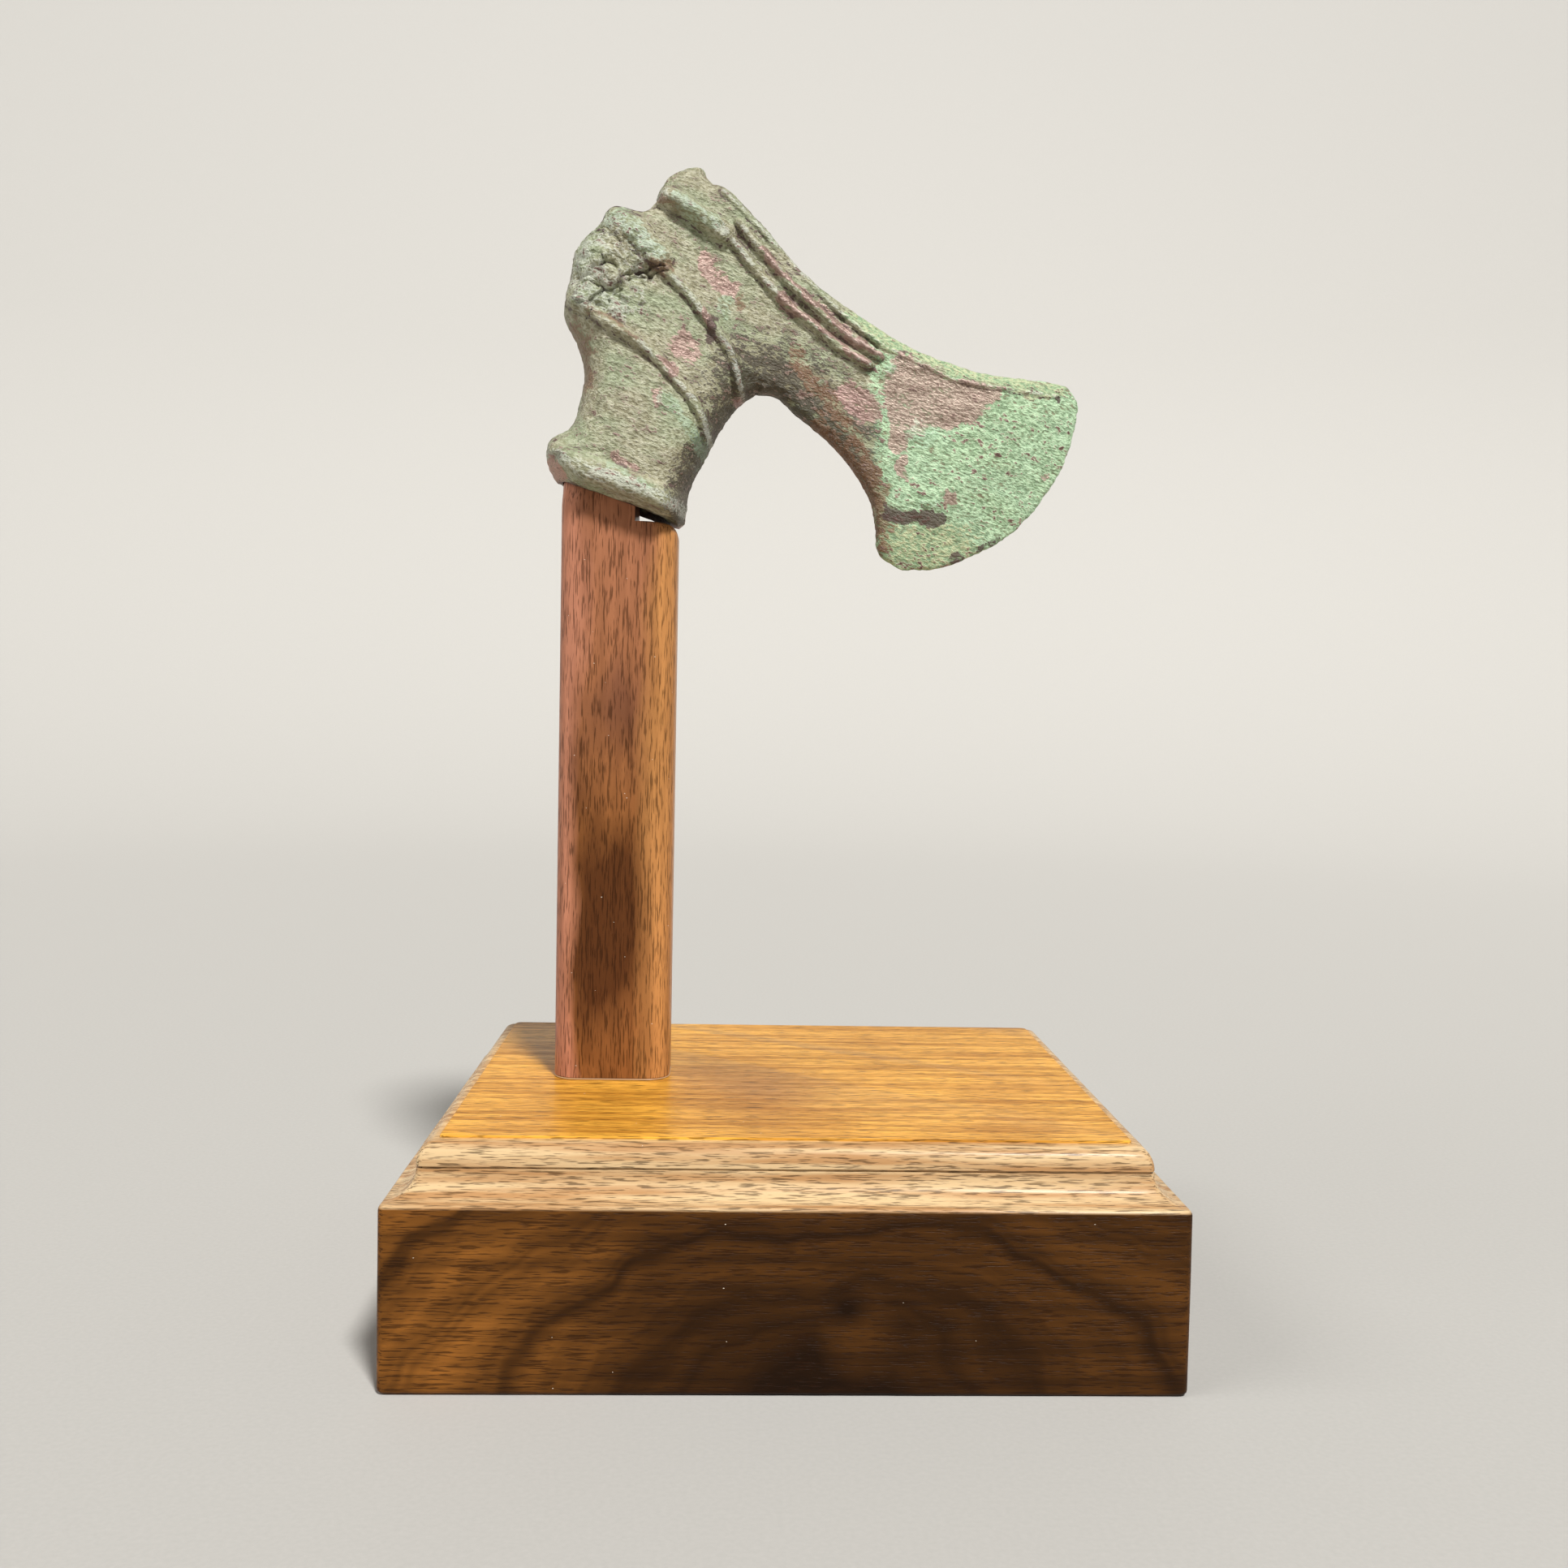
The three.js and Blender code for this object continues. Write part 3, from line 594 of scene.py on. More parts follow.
def settle(obj):
    """Puts the result of the modifiers into the mesh and removes them."""
    graph = bpy.context.evaluated_depsgraph_get()
    mesh = bpy.data.meshes.new_from_object(obj.evaluated_get(graph), preserve_all_data_layers=True,
                                           depsgraph=graph)
    obj.modifiers.clear()
    old = obj.data
    obj.data = mesh
    bpy.data.meshes.remove(old)
    if not mesh.polygons:
        raise RuntimeError(f"{obj.name} came out empty")


def loft(name, rings):
    """Closed object through rings of equal length, each anticlockwise from above, lowest first."""
    sides = len(rings[0])
    faces = []
    for row in range(len(rings) - 1):
        for i in range(sides):
            a, b = row * sides + i, row * sides + (i + 1) % sides
            faces.append((a, b, b + sides, a + sides))
    top = (len(rings) - 1) * sides
    faces.append(tuple(range(sides - 1, -1, -1)))
    faces.append(tuple(range(top, top + sides)))
    return mesh_object(name, np.vstack(rings), faces)


def rounded_ring(left, right, half, radius, z, steps, side_steps):
    """Ring of a rounded rectangle at height z, its straight sides divided too."""
    corners = [(right - radius, half - radius, 0), (left + radius, half - radius, 1),
               (left + radius, radius - half, 2), (right - radius, radius - half, 3)]
    ring = []
    for k, (cx, cy, quarter) in enumerate(corners):
        for i in range(steps + 1):
            turn = (quarter + i / steps) * math.pi / 2
            ring.append((cx + radius * math.cos(turn), cy + radius * math.sin(turn)))
        nx, ny, next_quarter = corners[(k + 1) % 4]
        turn = next_quarter * math.pi / 2
        start = np.array(ring[-1])
        end = np.array((nx + radius * math.cos(turn), ny + radius * math.sin(turn)))
        for i in range(1, side_steps):
            ring.append(tuple(start + (end - start) * i / side_steps))
    return np.array([(x, y, z) for x, y in ring])


def hole_ring(left, right, half, z, sides):
    """Ring of the shaft hole at height z, a superellipse."""
    power = 2 / HOLE_SQUARENESS
    turn = np.arange(sides) / sides * 2 * math.pi
    c, s = np.cos(turn), np.sin(turn)
    x = (left + right) / 2 + (right - left) / 2 * np.sign(c) * np.abs(c) ** power
    y = half * np.sign(s) * np.abs(s) ** power
    return np.stack([x, y, np.full(sides, z)], 1)


def hole_walls(z):
    """Left wall, right wall and half depth of the shaft hole at a height, in the casting's frame."""
    heights, lean, right, flatter = np.array(HOLE, float).T
    post_left = POST_LOW[0] - SEAT.x
    wall = post_left - HOLE_CLEARANCE + np.interp(z, heights, lean)
    return wall, np.interp(z, heights, right), HOLE_HALF - np.interp(z, heights, flatter)


def hole_cutter():
    """The solid that is taken out of the casting for the shaft hole."""
    spacing, sides = 1.6, 96
    rings = []
    for z in np.arange(HOLE[0][0], HOLE[-1][0] + 1, spacing):
        left, right, half = hole_walls(z)
        rings.append(hole_ring(left, right, half, z, sides))
    return loft("shaft_hole", rings)


def casting_mesh(form, step):
    """Points and faces of the casting without its hole: a lattice of cells inside the outline, raised
    to the front and to the back, whose outermost nodes are pulled to the rim and joined round it."""
    low, high = form.loop.min(0) - step, form.loop.max(0) + step
    gx, gz = np.meshgrid(np.arange(low[0], high[0], step), np.arange(low[1], high[1], step), indexing="ij")
    flat = np.stack([gx.ravel(), gz.ravel()], 1)
    used = form.inside(flat)
    distance = np.zeros(len(flat))
    place = np.zeros_like(flat)
    distance[used], place[used] = form.nearest_rim(flat[used])
    node = (used & (distance > form.rim - 0.35 * step)).reshape(gx.shape)
    quad = node[:-1, :-1] & node[1:, :-1] & node[1:, 1:] & node[:-1, 1:]
    drop_pinches(quad)
    i, j = np.nonzero(quad)
    rows = gx.shape[1]
    corners = np.stack([i * rows + j, (i + 1) * rows + j, (i + 1) * rows + j + 1, i * rows + j + 1], 1)
    ids, corners = np.unique(corners, return_inverse=True)
    corners = corners.reshape(-1, 4)
    p, distance, place = flat[ids], distance[ids], place[ids]

    starts, ends = corners.ravel(), np.roll(corners, -1, axis=1).ravel()
    alone = ~np.isin(starts * len(ids) + ends, ends * len(ids) + starts)
    edges = np.stack([starts[alone], ends[alone]], 1)
    rim_nodes = np.unique(edges)
    away = (p[rim_nodes] - place[rim_nodes]) / distance[rim_nodes, None]
    p[rim_nodes] = place[rim_nodes] + away * form.rim

    front = np.stack([p[:, 0], -form.half_thickness(p, True), p[:, 1]], 1)
    back = np.stack([p[:, 0], form.half_thickness(p, False), p[:, 1]], 1)
    points = [front, back]
    faces = [split_quads(front, corners), split_quads(back, corners)[:, ::-1] + len(ids)]

    rim_rows = 5
    columns = np.zeros((len(ids), 2 * rim_rows + 1), int)
    columns[rim_nodes, 0] = rim_nodes
    columns[rim_nodes, -1] = rim_nodes + len(ids)
    count = 2 * len(ids)
    for row in range(1, 2 * rim_rows):
        reach = abs(row - rim_rows) / rim_rows
        q = place[rim_nodes] + away * form.rim * reach ** 2
        side = -1 if row < rim_rows else 1
        half = form.half_thickness(q, side < 0) if row != rim_rows else np.zeros(len(q))
        points.append(np.stack([q[:, 0], side * half, q[:, 1]], 1))
        columns[rim_nodes, row] = count + np.arange(len(rim_nodes))
        count += len(rim_nodes)
    for row in range(2 * rim_rows):
        a, b = columns[edges[:, 0]], columns[edges[:, 1]]
        faces.append(np.stack([b[:, row], a[:, row], a[:, row + 1]], 1))
        faces.append(np.stack([b[:, row], a[:, row + 1], b[:, row + 1]], 1))
    return np.vstack(points), np.vstack(faces)


def drop_pinches(quad):
    """Drops cells that meet another only at a corner, where the surface would pinch."""
    while True:
        a, b, c, d = quad[:-1, :-1], quad[1:, :-1], quad[1:, 1:], quad[:-1, 1:]
        first = a & c & ~b & ~d
        second = b & d & ~a & ~c
        if not (first.any() or second.any()):
            return
        quad[:-1, :-1] &= ~first
        quad[1:, :-1] &= ~second


def split_quads(points, corners):
    """Two triangles a cell, along the diagonal with the smaller step in thickness."""
    y = points[:, 1][corners]
    along = (np.abs(y[:, 0] - y[:, 2]) < np.abs(y[:, 1] - y[:, 3]))[:, None]
    a, b, c, d = corners.T
    first = np.where(along, np.stack([a, b, c], 1), np.stack([a, b, d], 1))
    second = np.where(along, np.stack([a, c, d], 1), np.stack([b, c, d], 1))
    return np.vstack([first, second])


# Node trees


def add(tree, kind, inputs=None, **settings):
    """Adds a node, with its settings, and its inputs as values or as links from other nodes.

    An input is given by its name, or by its number where the node has more of that name. In a Map
    Range 0 is the value, 1 and 2 are the ends of its range, and 3 and 4 are what the ends become.
    """
    node = tree.nodes.new(kind)
    for name, value in settings.items():
        setattr(node, name, value)
    for name, value in (inputs or {}).items():
        if isinstance(value, bpy.types.NodeSocket):
            tree.links.new(value, node.inputs[name])
        else:
            node.inputs[name].default_value = value
    return node


def per_mm(size_mm):
    """Texture scale, per metre, of a pattern whose blobs are size_mm across."""
    return 1 / (size_mm * MM)


def geometry_tree(name, inputs):
    """An empty tree with named inputs, its input node and its output node."""
    tree = bpy.data.node_groups.new(name, "GeometryNodeTree")
    tree.interface.new_socket("Geometry", in_out="INPUT", socket_type="NodeSocketGeometry")
    for label, kind in inputs.items():
        tree.interface.new_socket(label, in_out="INPUT", socket_type=kind)
    tree.interface.new_socket("Geometry", in_out="OUTPUT", socket_type="NodeSocketGeometry")
    return tree, tree.nodes.new("NodeGroupInput").outputs, tree.nodes.new("NodeGroupOutput")


def close_tree(tree, given, output, geometry):
    """Ends a tree in Realize Instances and Set Material."""
    real = add(tree, "GeometryNodeRealizeInstances", {"Geometry": geometry})
    finished = add(tree, "GeometryNodeSetMaterial", {"Geometry": real.outputs[0],
                                                     "Material": given["Material"]})
    tree.links.new(finished.outputs[0], output.inputs[0])


def run_tree(obj, tree, values):
    """Runs a tree on an object with the given inputs and keeps the result as a plain mesh."""
    modifier = obj.modifiers.new(tree.name, "NODES")
    modifier.node_group = tree
    for item in tree.interface.items_tree:
        if item.in_out == "INPUT" and item.name in values:
            modifier[item.identifier] = values[item.name]
    settle(obj)


FLOAT, WHOLE, MATERIAL = "NodeSocketFloat", "NodeSocketInt", "NodeSocketMaterial"


def crust_tree():
    """Moves a surface along its normals by slow swells and by slanting wrinkles. The wrinkles are
    weaker where the surface is worn smooth."""
    tree, given, output = geometry_tree("Corrosion crust", {
        "Swell Size": FLOAT, "Swell Height": FLOAT, "Grain Size": FLOAT, "Grain Height": FLOAT,
        "Stretch": FLOAT, "Lean": FLOAT, "Seed": WHOLE, "Material": MATERIAL})
    place = add(tree, "GeometryNodeInputPosition").outputs[0]
    leant = add(tree, "ShaderNodeVectorRotate", {"Vector": place, "Angle": given["Lean"]},
                rotation_type="Y_AXIS").outputs[0]
    squeeze = add(tree, "ShaderNodeCombineXYZ", {"X": given["Stretch"], "Y": 1.0, "Z": 1.0}).outputs[0]
    drawn = add(tree, "ShaderNodeVectorMath", {0: leant, 1: squeeze}, operation="MULTIPLY").outputs[0]

    def layer(size, height, detail):
        scale = add(tree, "ShaderNodeMath", {0: 1.0, 1: size}, operation="DIVIDE").outputs[0]
        noise = add(tree, "ShaderNodeTexNoise",
                    {"Vector": drawn, "W": given["Seed"], "Scale": scale, "Detail": detail},
                    noise_dimensions="4D").outputs[0]
        centred = add(tree, "ShaderNodeMath", {0: noise, 1: 2.0, 2: -1.0},
                      operation="MULTIPLY_ADD").outputs[0]
        return add(tree, "ShaderNodeMath", {0: centred, 1: height}, operation="MULTIPLY").outputs[0]

    swell = layer(given["Swell Size"], given["Swell Height"], 2.0)
    grain = layer(given["Grain Size"], given["Grain Height"], 2.5)
    smooth = add(tree, "GeometryNodeInputNamedAttribute", {"Name": "worn_smooth"},
                 data_type="FLOAT").outputs[0]
    left = add(tree, "ShaderNodeMath", {0: smooth, 1: -0.8, 2: 1.0}, operation="MULTIPLY_ADD").outputs[0]
    grain = add(tree, "ShaderNodeMath", {0: grain, 1: left}, operation="MULTIPLY").outputs[0]
    height = add(tree, "ShaderNodeMath", {0: swell, 1: grain}, operation="ADD").outputs[0]
    normal = add(tree, "GeometryNodeInputNormal").outputs[0]
    move = add(tree, "ShaderNodeVectorMath", {0: normal, "Scale": height}, operation="SCALE").outputs[0]
    moved = add(tree, "GeometryNodeSetPosition", {"Geometry": given["Geometry"], "Offset": move})
    close_tree(tree, given, output, moved.outputs[0])
    return tree


def speck_tree():
    """Strews small flattened specks over the faces of a surface and leaves the surface itself out."""
    tree, given, output = geometry_tree("Dust specks", {
        "Density": FLOAT, "Radius": FLOAT, "Seed": WHOLE, "Material": MATERIAL})
    strewn = add(tree, "GeometryNodeDistributePointsOnFaces",
                 {"Mesh": given["Geometry"], "Density": given["Density"], "Seed": given["Seed"]})
    grain = add(tree, "GeometryNodeMeshIcoSphere", {"Radius": given["Radius"], "Subdivisions": 2})
    size = add(tree, "FunctionNodeRandomValue",
               {0: (0.6, 0.5, 0.25), 1: (2.2, 1.1, 0.6), "Seed": given["Seed"]}, data_type="FLOAT_VECTOR")
    specks = add(tree, "GeometryNodeInstanceOnPoints",
                 {"Points": strewn.outputs["Points"], "Instance": grain.outputs[0],
                  "Rotation": strewn.outputs["Rotation"], "Scale": size.outputs[0]})
    close_tree(tree, given, output, specks.outputs[0])
    return tree


def bead_tree():
    """Sweeps a small round section along the edges of a ring."""
    tree, given, output = geometry_tree("Glue bead", {"Radius": FLOAT, "Sides": WHOLE, "Material": MATERIAL})
    path = add(tree, "GeometryNodeMeshToCurve", {"Mesh": given["Geometry"]}).outputs[0]
    section = add(tree, "GeometryNodeCurvePrimitiveCircle",
                  {"Resolution": given["Sides"], "Radius": given["Radius"]}).outputs[0]
    swept = add(tree, "GeometryNodeCurveToMesh", {"Curve": path, "Profile Curve": section}).outputs[0]
    close_tree(tree, given, output, swept)
    return tree


# Materials


def material(name):
    """A new node material, its tree and its texture coordinates in metres of the shared frame."""
    made = bpy.data.materials.new(name)
    made.use_nodes = True
    tree = made.node_tree
    tree.nodes.clear()
    return made, tree, add(tree, "ShaderNodeTexCoord").outputs["Object"]


def stacked(tree, ground, coats):
    """The ground colour with coats laid over it, each a colour, where it shows and how strongly."""
    for coat, where, strength in coats:
        share = add(tree, "ShaderNodeMath", {0: where, 1: strength}, operation="MULTIPLY").outputs[0]
        ground = add(tree, "ShaderNodeMix", {0: share, 6: ground, 7: coat}, data_type="RGBA").outputs[2]
    return ground


def corroded_bronze(c):
    """Buried bronze: a matt granular crust of greens over purple-brown metal, with earth and stains, and with
    painted shade and painted highlight in its colour.
    The crust scatters light softly and the bare metal has a dull sheen."""
    made, tree, place = material("corroded_bronze")
    leant = add(tree, "ShaderNodeVectorRotate", {"Vector": place, "Angle": CRUST_LEAN},
                rotation_type="Y_AXIS").outputs[0]
    drawn = add(tree, "ShaderNodeVectorMath", {0: leant, 1: (CRUST_STRETCH, 1, 1)},
                operation="MULTIPLY").outputs[0]
    noise = {}
    for name, size, detail in (("cloud", 8, 3), ("patch", 2.6, 4), ("grain", 0.65, 4), ("fine", 0.3, 3)):
        noise[name] = add(tree, "ShaderNodeTexNoise",
                          {"Vector": drawn, "Scale": per_mm(size), "Detail": detail}).outputs[0]
    share = {}
    # The second of these shares marks the valleys of the crust's wrinkles, which take painted shade
    for name, source, low, high in (("tops", "grain", 0.4, 0.6), ("hollows", "grain", 0.46, 0.34),
                                    ("clouds", "cloud", 0.42, 0.62), ("blotches", "patch", 0.5, 0.66),
                                    ("specks", "fine", 0.55, 0.7)):
        share[name] = add(tree, "ShaderNodeMapRange", {0: noise[source], 1: low, 2: high}).outputs[0]

    ragged = add(tree, "ShaderNodeMath", {0: noise["patch"], 1: noise["grain"]}, operation="ADD").outputs[0]
    ragged = add(tree, "ShaderNodeMath", {0: ragged, 1: 2.0, 2: -2.0}, operation="MULTIPLY_ADD").outputs[0]
    mask = {}
    for name in ("blade_green", "blade_yellow", "grime_and_shade", "rubbed_and_highlit", "turquoise", "earth", "bare_metal",
                 "fracture", "darkening"):
        given = add(tree, "ShaderNodeAttribute", attribute_name=name).outputs["Fac"]
        shaken_mask = add(tree, "ShaderNodeMath", {0: given, 1: ragged}, operation="ADD").outputs[0]
        mask[name] = add(tree, "ShaderNodeMapRange", {0: shaken_mask, 1: 0.35, 2: 0.65}).outputs[0]

    socket = stacked(tree, c.olive, [(c.dust, share["tops"], 0.6), (c.blade_deep, share["clouds"], 0.35),
                                     (c.grime_and_shade, share["blotches"], 0.3)])
    blade = stacked(tree, c.blade_deep, [(c.blade, share["tops"], 0.85),
                                         (c.turquoise, share["clouds"], 0.15)])
    tip = stacked(tree, c.blade_deep, [(c.blade_yellow, share["tops"], 1)])
    metal = stacked(tree, c.bare, [(c.bare_light, share["tops"], 0.55), (c.dust, share["specks"], 0.25)])
    crust = stacked(tree, c.blade_deep, [(c.turquoise, share["tops"], 1)])
    earth = stacked(tree, c.earth, [(c.dust, share["specks"], 0.4)])
    colour_now = stacked(tree, socket, [
        # The grime coat is partly real grime and partly painted shade under the neck and at the throat
        (blade, mask["blade_green"], 1), (tip, mask["blade_yellow"], 1), (c.grime_and_shade, mask["grime_and_shade"], 0.85),
        # The rubbed coat is partly wear and partly a painted highlight on the raised tops and the butt
        (c.rubbed_and_highlit, mask["rubbed_and_highlit"], 0.55), (earth, mask["earth"], 0.75), (metal, mask["bare_metal"], 0.85),
        (crust, mask["turquoise"], 0.35), (c.fracture, mask["fracture"], 0.9),
        # The last coat is painted shade in the valleys of the crust's wrinkles
        (c.darkening, mask["darkening"], 0.9), (c.darkening, share["hollows"], 0.25)])

    rough = add(tree, "ShaderNodeMapRange", {0: mask["bare_metal"], 3: 0.52, 4: 0.4}).outputs[0]
    metallic = add(tree, "ShaderNodeMath", {0: mask["bare_metal"], 1: 0.3}, operation="MULTIPLY").outputs[0]
    depth = add(tree, "ShaderNodeMapRange", {0: mask["bare_metal"], 3: 1.0, 4: 0.5}).outputs[0]
    coarse = add(tree, "ShaderNodeBump",
                 {"Height": noise["grain"], "Strength": depth, "Distance": 1.0 * MM}).outputs[0]
    bumps = add(tree, "ShaderNodeBump", {"Height": noise["fine"], "Strength": depth, "Distance": 0.3 * MM,
                                         "Normal": coarse}).outputs[0]
    shader = add(tree, "ShaderNodeBsdfPrincipled",
                 {"Base Color": colour_now, "Roughness": rough, "Metallic": metallic, "Normal": bumps})
    add(tree, "ShaderNodeOutputMaterial", {"Surface": shader.outputs[0]})
    return made


def wood_lines(tree, place, along, s):
    """Streaks of the wood and its pores, both drawn out along an axis: 0 for X and 2 for Z."""
    lines = []
    streak_width, streak_ratio = 2.4, 25
    pore_width, pore_ratio = s.pore_width / MM, s.pore_length / s.pore_width
    for across, length_to_width, detail in ((streak_width, streak_ratio, 5), (pore_width, pore_ratio, 2)):
        stretch = [1.0, 1.0, 1.0]
        stretch[along] = 1 / length_to_width
        drawn = add(tree, "ShaderNodeVectorMath", {0: place, 1: stretch}, operation="MULTIPLY").outputs[0]
        lines.append(add(tree, "ShaderNodeTexNoise",
                         {"Vector": drawn, "Scale": per_mm(across), "Detail": detail}).outputs[0])
    pores = add(tree, "ShaderNodeMapRange", {0: lines[1], 1: 0.53, 2: 0.62}).outputs[0]
    return lines[0], pores


def lacquered_wood(made, tree, colour_now, pores, streak):
    """Ends a walnut material: satin lacquer that dips into the pores."""
    pore_depth = add(tree, "ShaderNodeBump",
                     {"Height": pores, "Strength": 0.6, "Distance": -0.08 * MM}).outputs[0]
    grain = add(tree, "ShaderNodeBump", {"Height": streak, "Strength": 0.5, "Distance": 0.1 * MM,
                                         "Normal": pore_depth}).outputs[0]
    rough = add(tree, "ShaderNodeMapRange", {0: streak, 1: 0.3, 2: 0.7, 3: 0.3, 4: 0.42}).outputs[0]
    shader = add(tree, "ShaderNodeBsdfPrincipled",
                 {"Base Color": colour_now, "Roughness": rough, "Normal": grain,
                  "Specular IOR Level": 0.08, "Coat Weight": 0.04, "Coat Roughness": 0.15})
    add(tree, "ShaderNodeOutputMaterial", {"Surface": shader.outputs[0]})
    return made


def block_walnut(s):
    """Lacquered walnut, straight-grained and golden on top, with arched rings round a knot on the sides.
    The top and the moulding are painted lighter than the sides and the sides darker: painted light and
    painted shade on one timber. The pores are short dark dashes."""
    made, tree, place = material("lacquered_walnut_block")
    streak, pores = wood_lines(tree, place, 0, s)

    def ring_distance(centre, flatness, wander):
        """Distance in metres from a centre on the front, with the rings flattened and shaken. They run on
        through the block, because the distance along its depth counts for little."""
        depth_share = 0.12
        wave = add(tree, "ShaderNodeTexNoise",
                   {"Vector": place, "Scale": per_mm(28), "Detail": 2}).outputs["Color"]
        middle = (centre[0] * MM, BASE_LOW[1] * MM, centre[1] * MM)
        moved = wave
        for operation, inputs in (("ADD", {1: (-0.5, -0.5, -0.5)}), ("SCALE", {"Scale": wander * MM}),
                                  ("ADD", {1: place}), ("SUBTRACT", {1: middle}),
                                  ("MULTIPLY", {1: (flatness, depth_share, 1)})):
            moved = add(tree, "ShaderNodeVectorMath", {0: moved, **inputs}, operation=operation).outputs[0]
        return add(tree, "ShaderNodeVectorMath", {0: moved}, operation="LENGTH").outputs["Value"]

    rings = ring_distance(ARCH_CENTRE, 0.6, 22)
    course = add(tree, "ShaderNodeCombineXYZ", {"X": rings}).outputs[0]
    bands = add(tree, "ShaderNodeTexNoise", {"Vector": course, "Scale": per_mm(8), "Detail": 3}).outputs[0]
    knot = ring_distance(KNOT_CENTRE, 0.8, 3)
    pale = ring_distance(PALE_CENTRE, 1.1, 3)
    clouds = add(tree, "ShaderNodeTexNoise", {"Vector": place, "Scale": per_mm(30), "Detail": 2}).outputs[0]
    # A darker patch on the top round its middle
    dark_patch_middle = (DARK_PATCH_CENTRE[0] * MM, DARK_PATCH_CENTRE[1] * MM, 0)
    darkening = add(tree, "ShaderNodeVectorMath", {0: place, 1: dark_patch_middle}, operation="SUBTRACT").outputs[0]
    darkening = add(tree, "ShaderNodeVectorMath", {0: darkening, 1: (1, 0.5, 0)}, operation="MULTIPLY").outputs[0]
    darkening = add(tree, "ShaderNodeVectorMath", {0: darkening}, operation="LENGTH").outputs["Value"]
    x, _, z = add(tree, "ShaderNodeSeparateXYZ", {0: place}).outputs

    share = {}
    for name, value, low, high in (
            ("bands", bands, 0.38, 0.66), ("clouds", clouds, 0.4, 0.62), ("lines", streak, 0.4, 0.62),
            ("heart", rings, 38 * MM, 15 * MM), ("knot", knot, 5.6 * MM, 1 * MM),
            ("pale", pale, 11 * MM, 3 * MM), ("darkening", darkening, 24 * MM, 4 * MM),
            ("inner", x, -72 * MM, -30 * MM),
            ("moulding", z, (MOULD_Z - 0.2) * MM, (MOULD_Z + 0.4) * MM),
            ("top", z, TOP_Z * MM, (TOP_Z + 0.4) * MM)):
        share[name] = add(tree, "ShaderNodeMapRange", {0: value, 1: low, 2: high}).outputs[0]

    # Top and moulding painted lighter and the sides darker: painted light and shade on one timber
    top = stacked(tree, s.top_lit, [(s.top_dark, share["lines"], 0.6), (s.top_dark, share["clouds"], 0.25),
                                      (s.side_shaded, share["darkening"], 0.6)])
    moulding = stacked(tree, s.moulding_lit, [(s.top_dark, share["lines"], 0.6)])
    colour_now = stacked(tree, s.side_shaded, [
        (s.side_dark, share["inner"], 0.7), (s.side_dark, share["bands"], 0.82),
        (s.side_dark, share["heart"], 0.8), (s.side_shaded, share["pale"], 0.15),
        (s.side_dark, share["knot"], 0.9), (s.side_dark, share["lines"], 0.4),
        (moulding, share["moulding"], 1), (top, share["top"], 1), (s.pore, pores, 0.65)])
    return lacquered_wood(made, tree, colour_now, pores, streak)


def post_walnut(s):
    """Oiled and lacquered walnut with upright grain: reddish on the left, golden on the right and brown
    between them, with dark clouds and fine upright pores. The red on the left corner is partly a painted
    reflection and the gold on the right corner partly a painted highlight."""
    made, tree, place = material("lacquered_walnut_post")
    streak, pores = wood_lines(tree, place, 2, s)
    long_place = add(tree, "ShaderNodeVectorMath", {0: place, 1: (1, 1, 0.35)},
                     operation="MULTIPLY").outputs[0]
    clouds = add(tree, "ShaderNodeTexNoise",
                 {"Vector": long_place, "Scale": per_mm(16), "Detail": 3}).outputs[0]
    x, _, z = add(tree, "ShaderNodeSeparateXYZ", {0: place}).outputs
    wave = add(tree, "ShaderNodeMath", {0: clouds, 1: 14 * MM, 2: -7 * MM},
               operation="MULTIPLY_ADD").outputs[0]
    across = add(tree, "ShaderNodeMath", {0: x, 1: wave}, operation="ADD").outputs[0]

    share = {}
    for name, value, low, high in (
            ("lines", streak, 0.38, 0.64), ("clouds", clouds, 0.5, 0.64),
            ("left", across, (POST_X - 8) * MM, (POST_X - 12) * MM),
            ("right", across, (POST_X + 5) * MM, (POST_X + 12) * MM),
            ("high", z, 120 * MM, 195 * MM)):
        share[name] = add(tree, "ShaderNodeMapRange", {0: value, 1: low, 2: high}).outputs[0]
    # The noise lies about 0.5, so an edge strays to both sides of its place by a share of ragged_edge
    dark, ragged_edge, cloud_half_width = share["clouds"], 60, 11
    for cloud_x, cloud_z, half_height in POST_CLOUDS:
        middle = (cloud_x * MM, POST_LOW[1] * MM, cloud_z * MM)
        away = add(tree, "ShaderNodeVectorMath", {0: place, 1: middle}, operation="SUBTRACT").outputs[0]
        away = add(tree, "ShaderNodeVectorMath", {0: away, 1: (half_height / cloud_half_width, 1, 1)},
                   operation="MULTIPLY").outputs[0]
        away = add(tree, "ShaderNodeVectorMath", {0: away}, operation="LENGTH").outputs["Value"]
        away = add(tree, "ShaderNodeMath", {0: clouds, 1: -ragged_edge * MM, 2: away},
                   operation="MULTIPLY_ADD").outputs[0]
        outer, inner = half_height + 2 - ragged_edge / 2, half_height - 12 - ragged_edge / 2
        cloud = add(tree, "ShaderNodeMapRange", {0: away, 1: outer * MM, 2: inner * MM}).outputs[0]
        dark = add(tree, "ShaderNodeMath", {0: dark, 1: cloud}, operation="MAXIMUM").outputs[0]
    # The red on the left corner is partly a painted reflection, the gold on the right corner partly a painted
    # highlight
    wood = stacked(tree, s.post_brown, [
        (s.post_dark, dark, 0.8), (s.post_red_and_reflection, share["high"], 0.5), (s.post_red_and_reflection, share["left"], 0.9),
        (s.post_gold_and_highlight, share["right"], 0.9), (s.post_dark, share["lines"], 0.3), (s.pore, pores, 0.6)])
    return lacquered_wood(made, tree, wood, pores, streak)


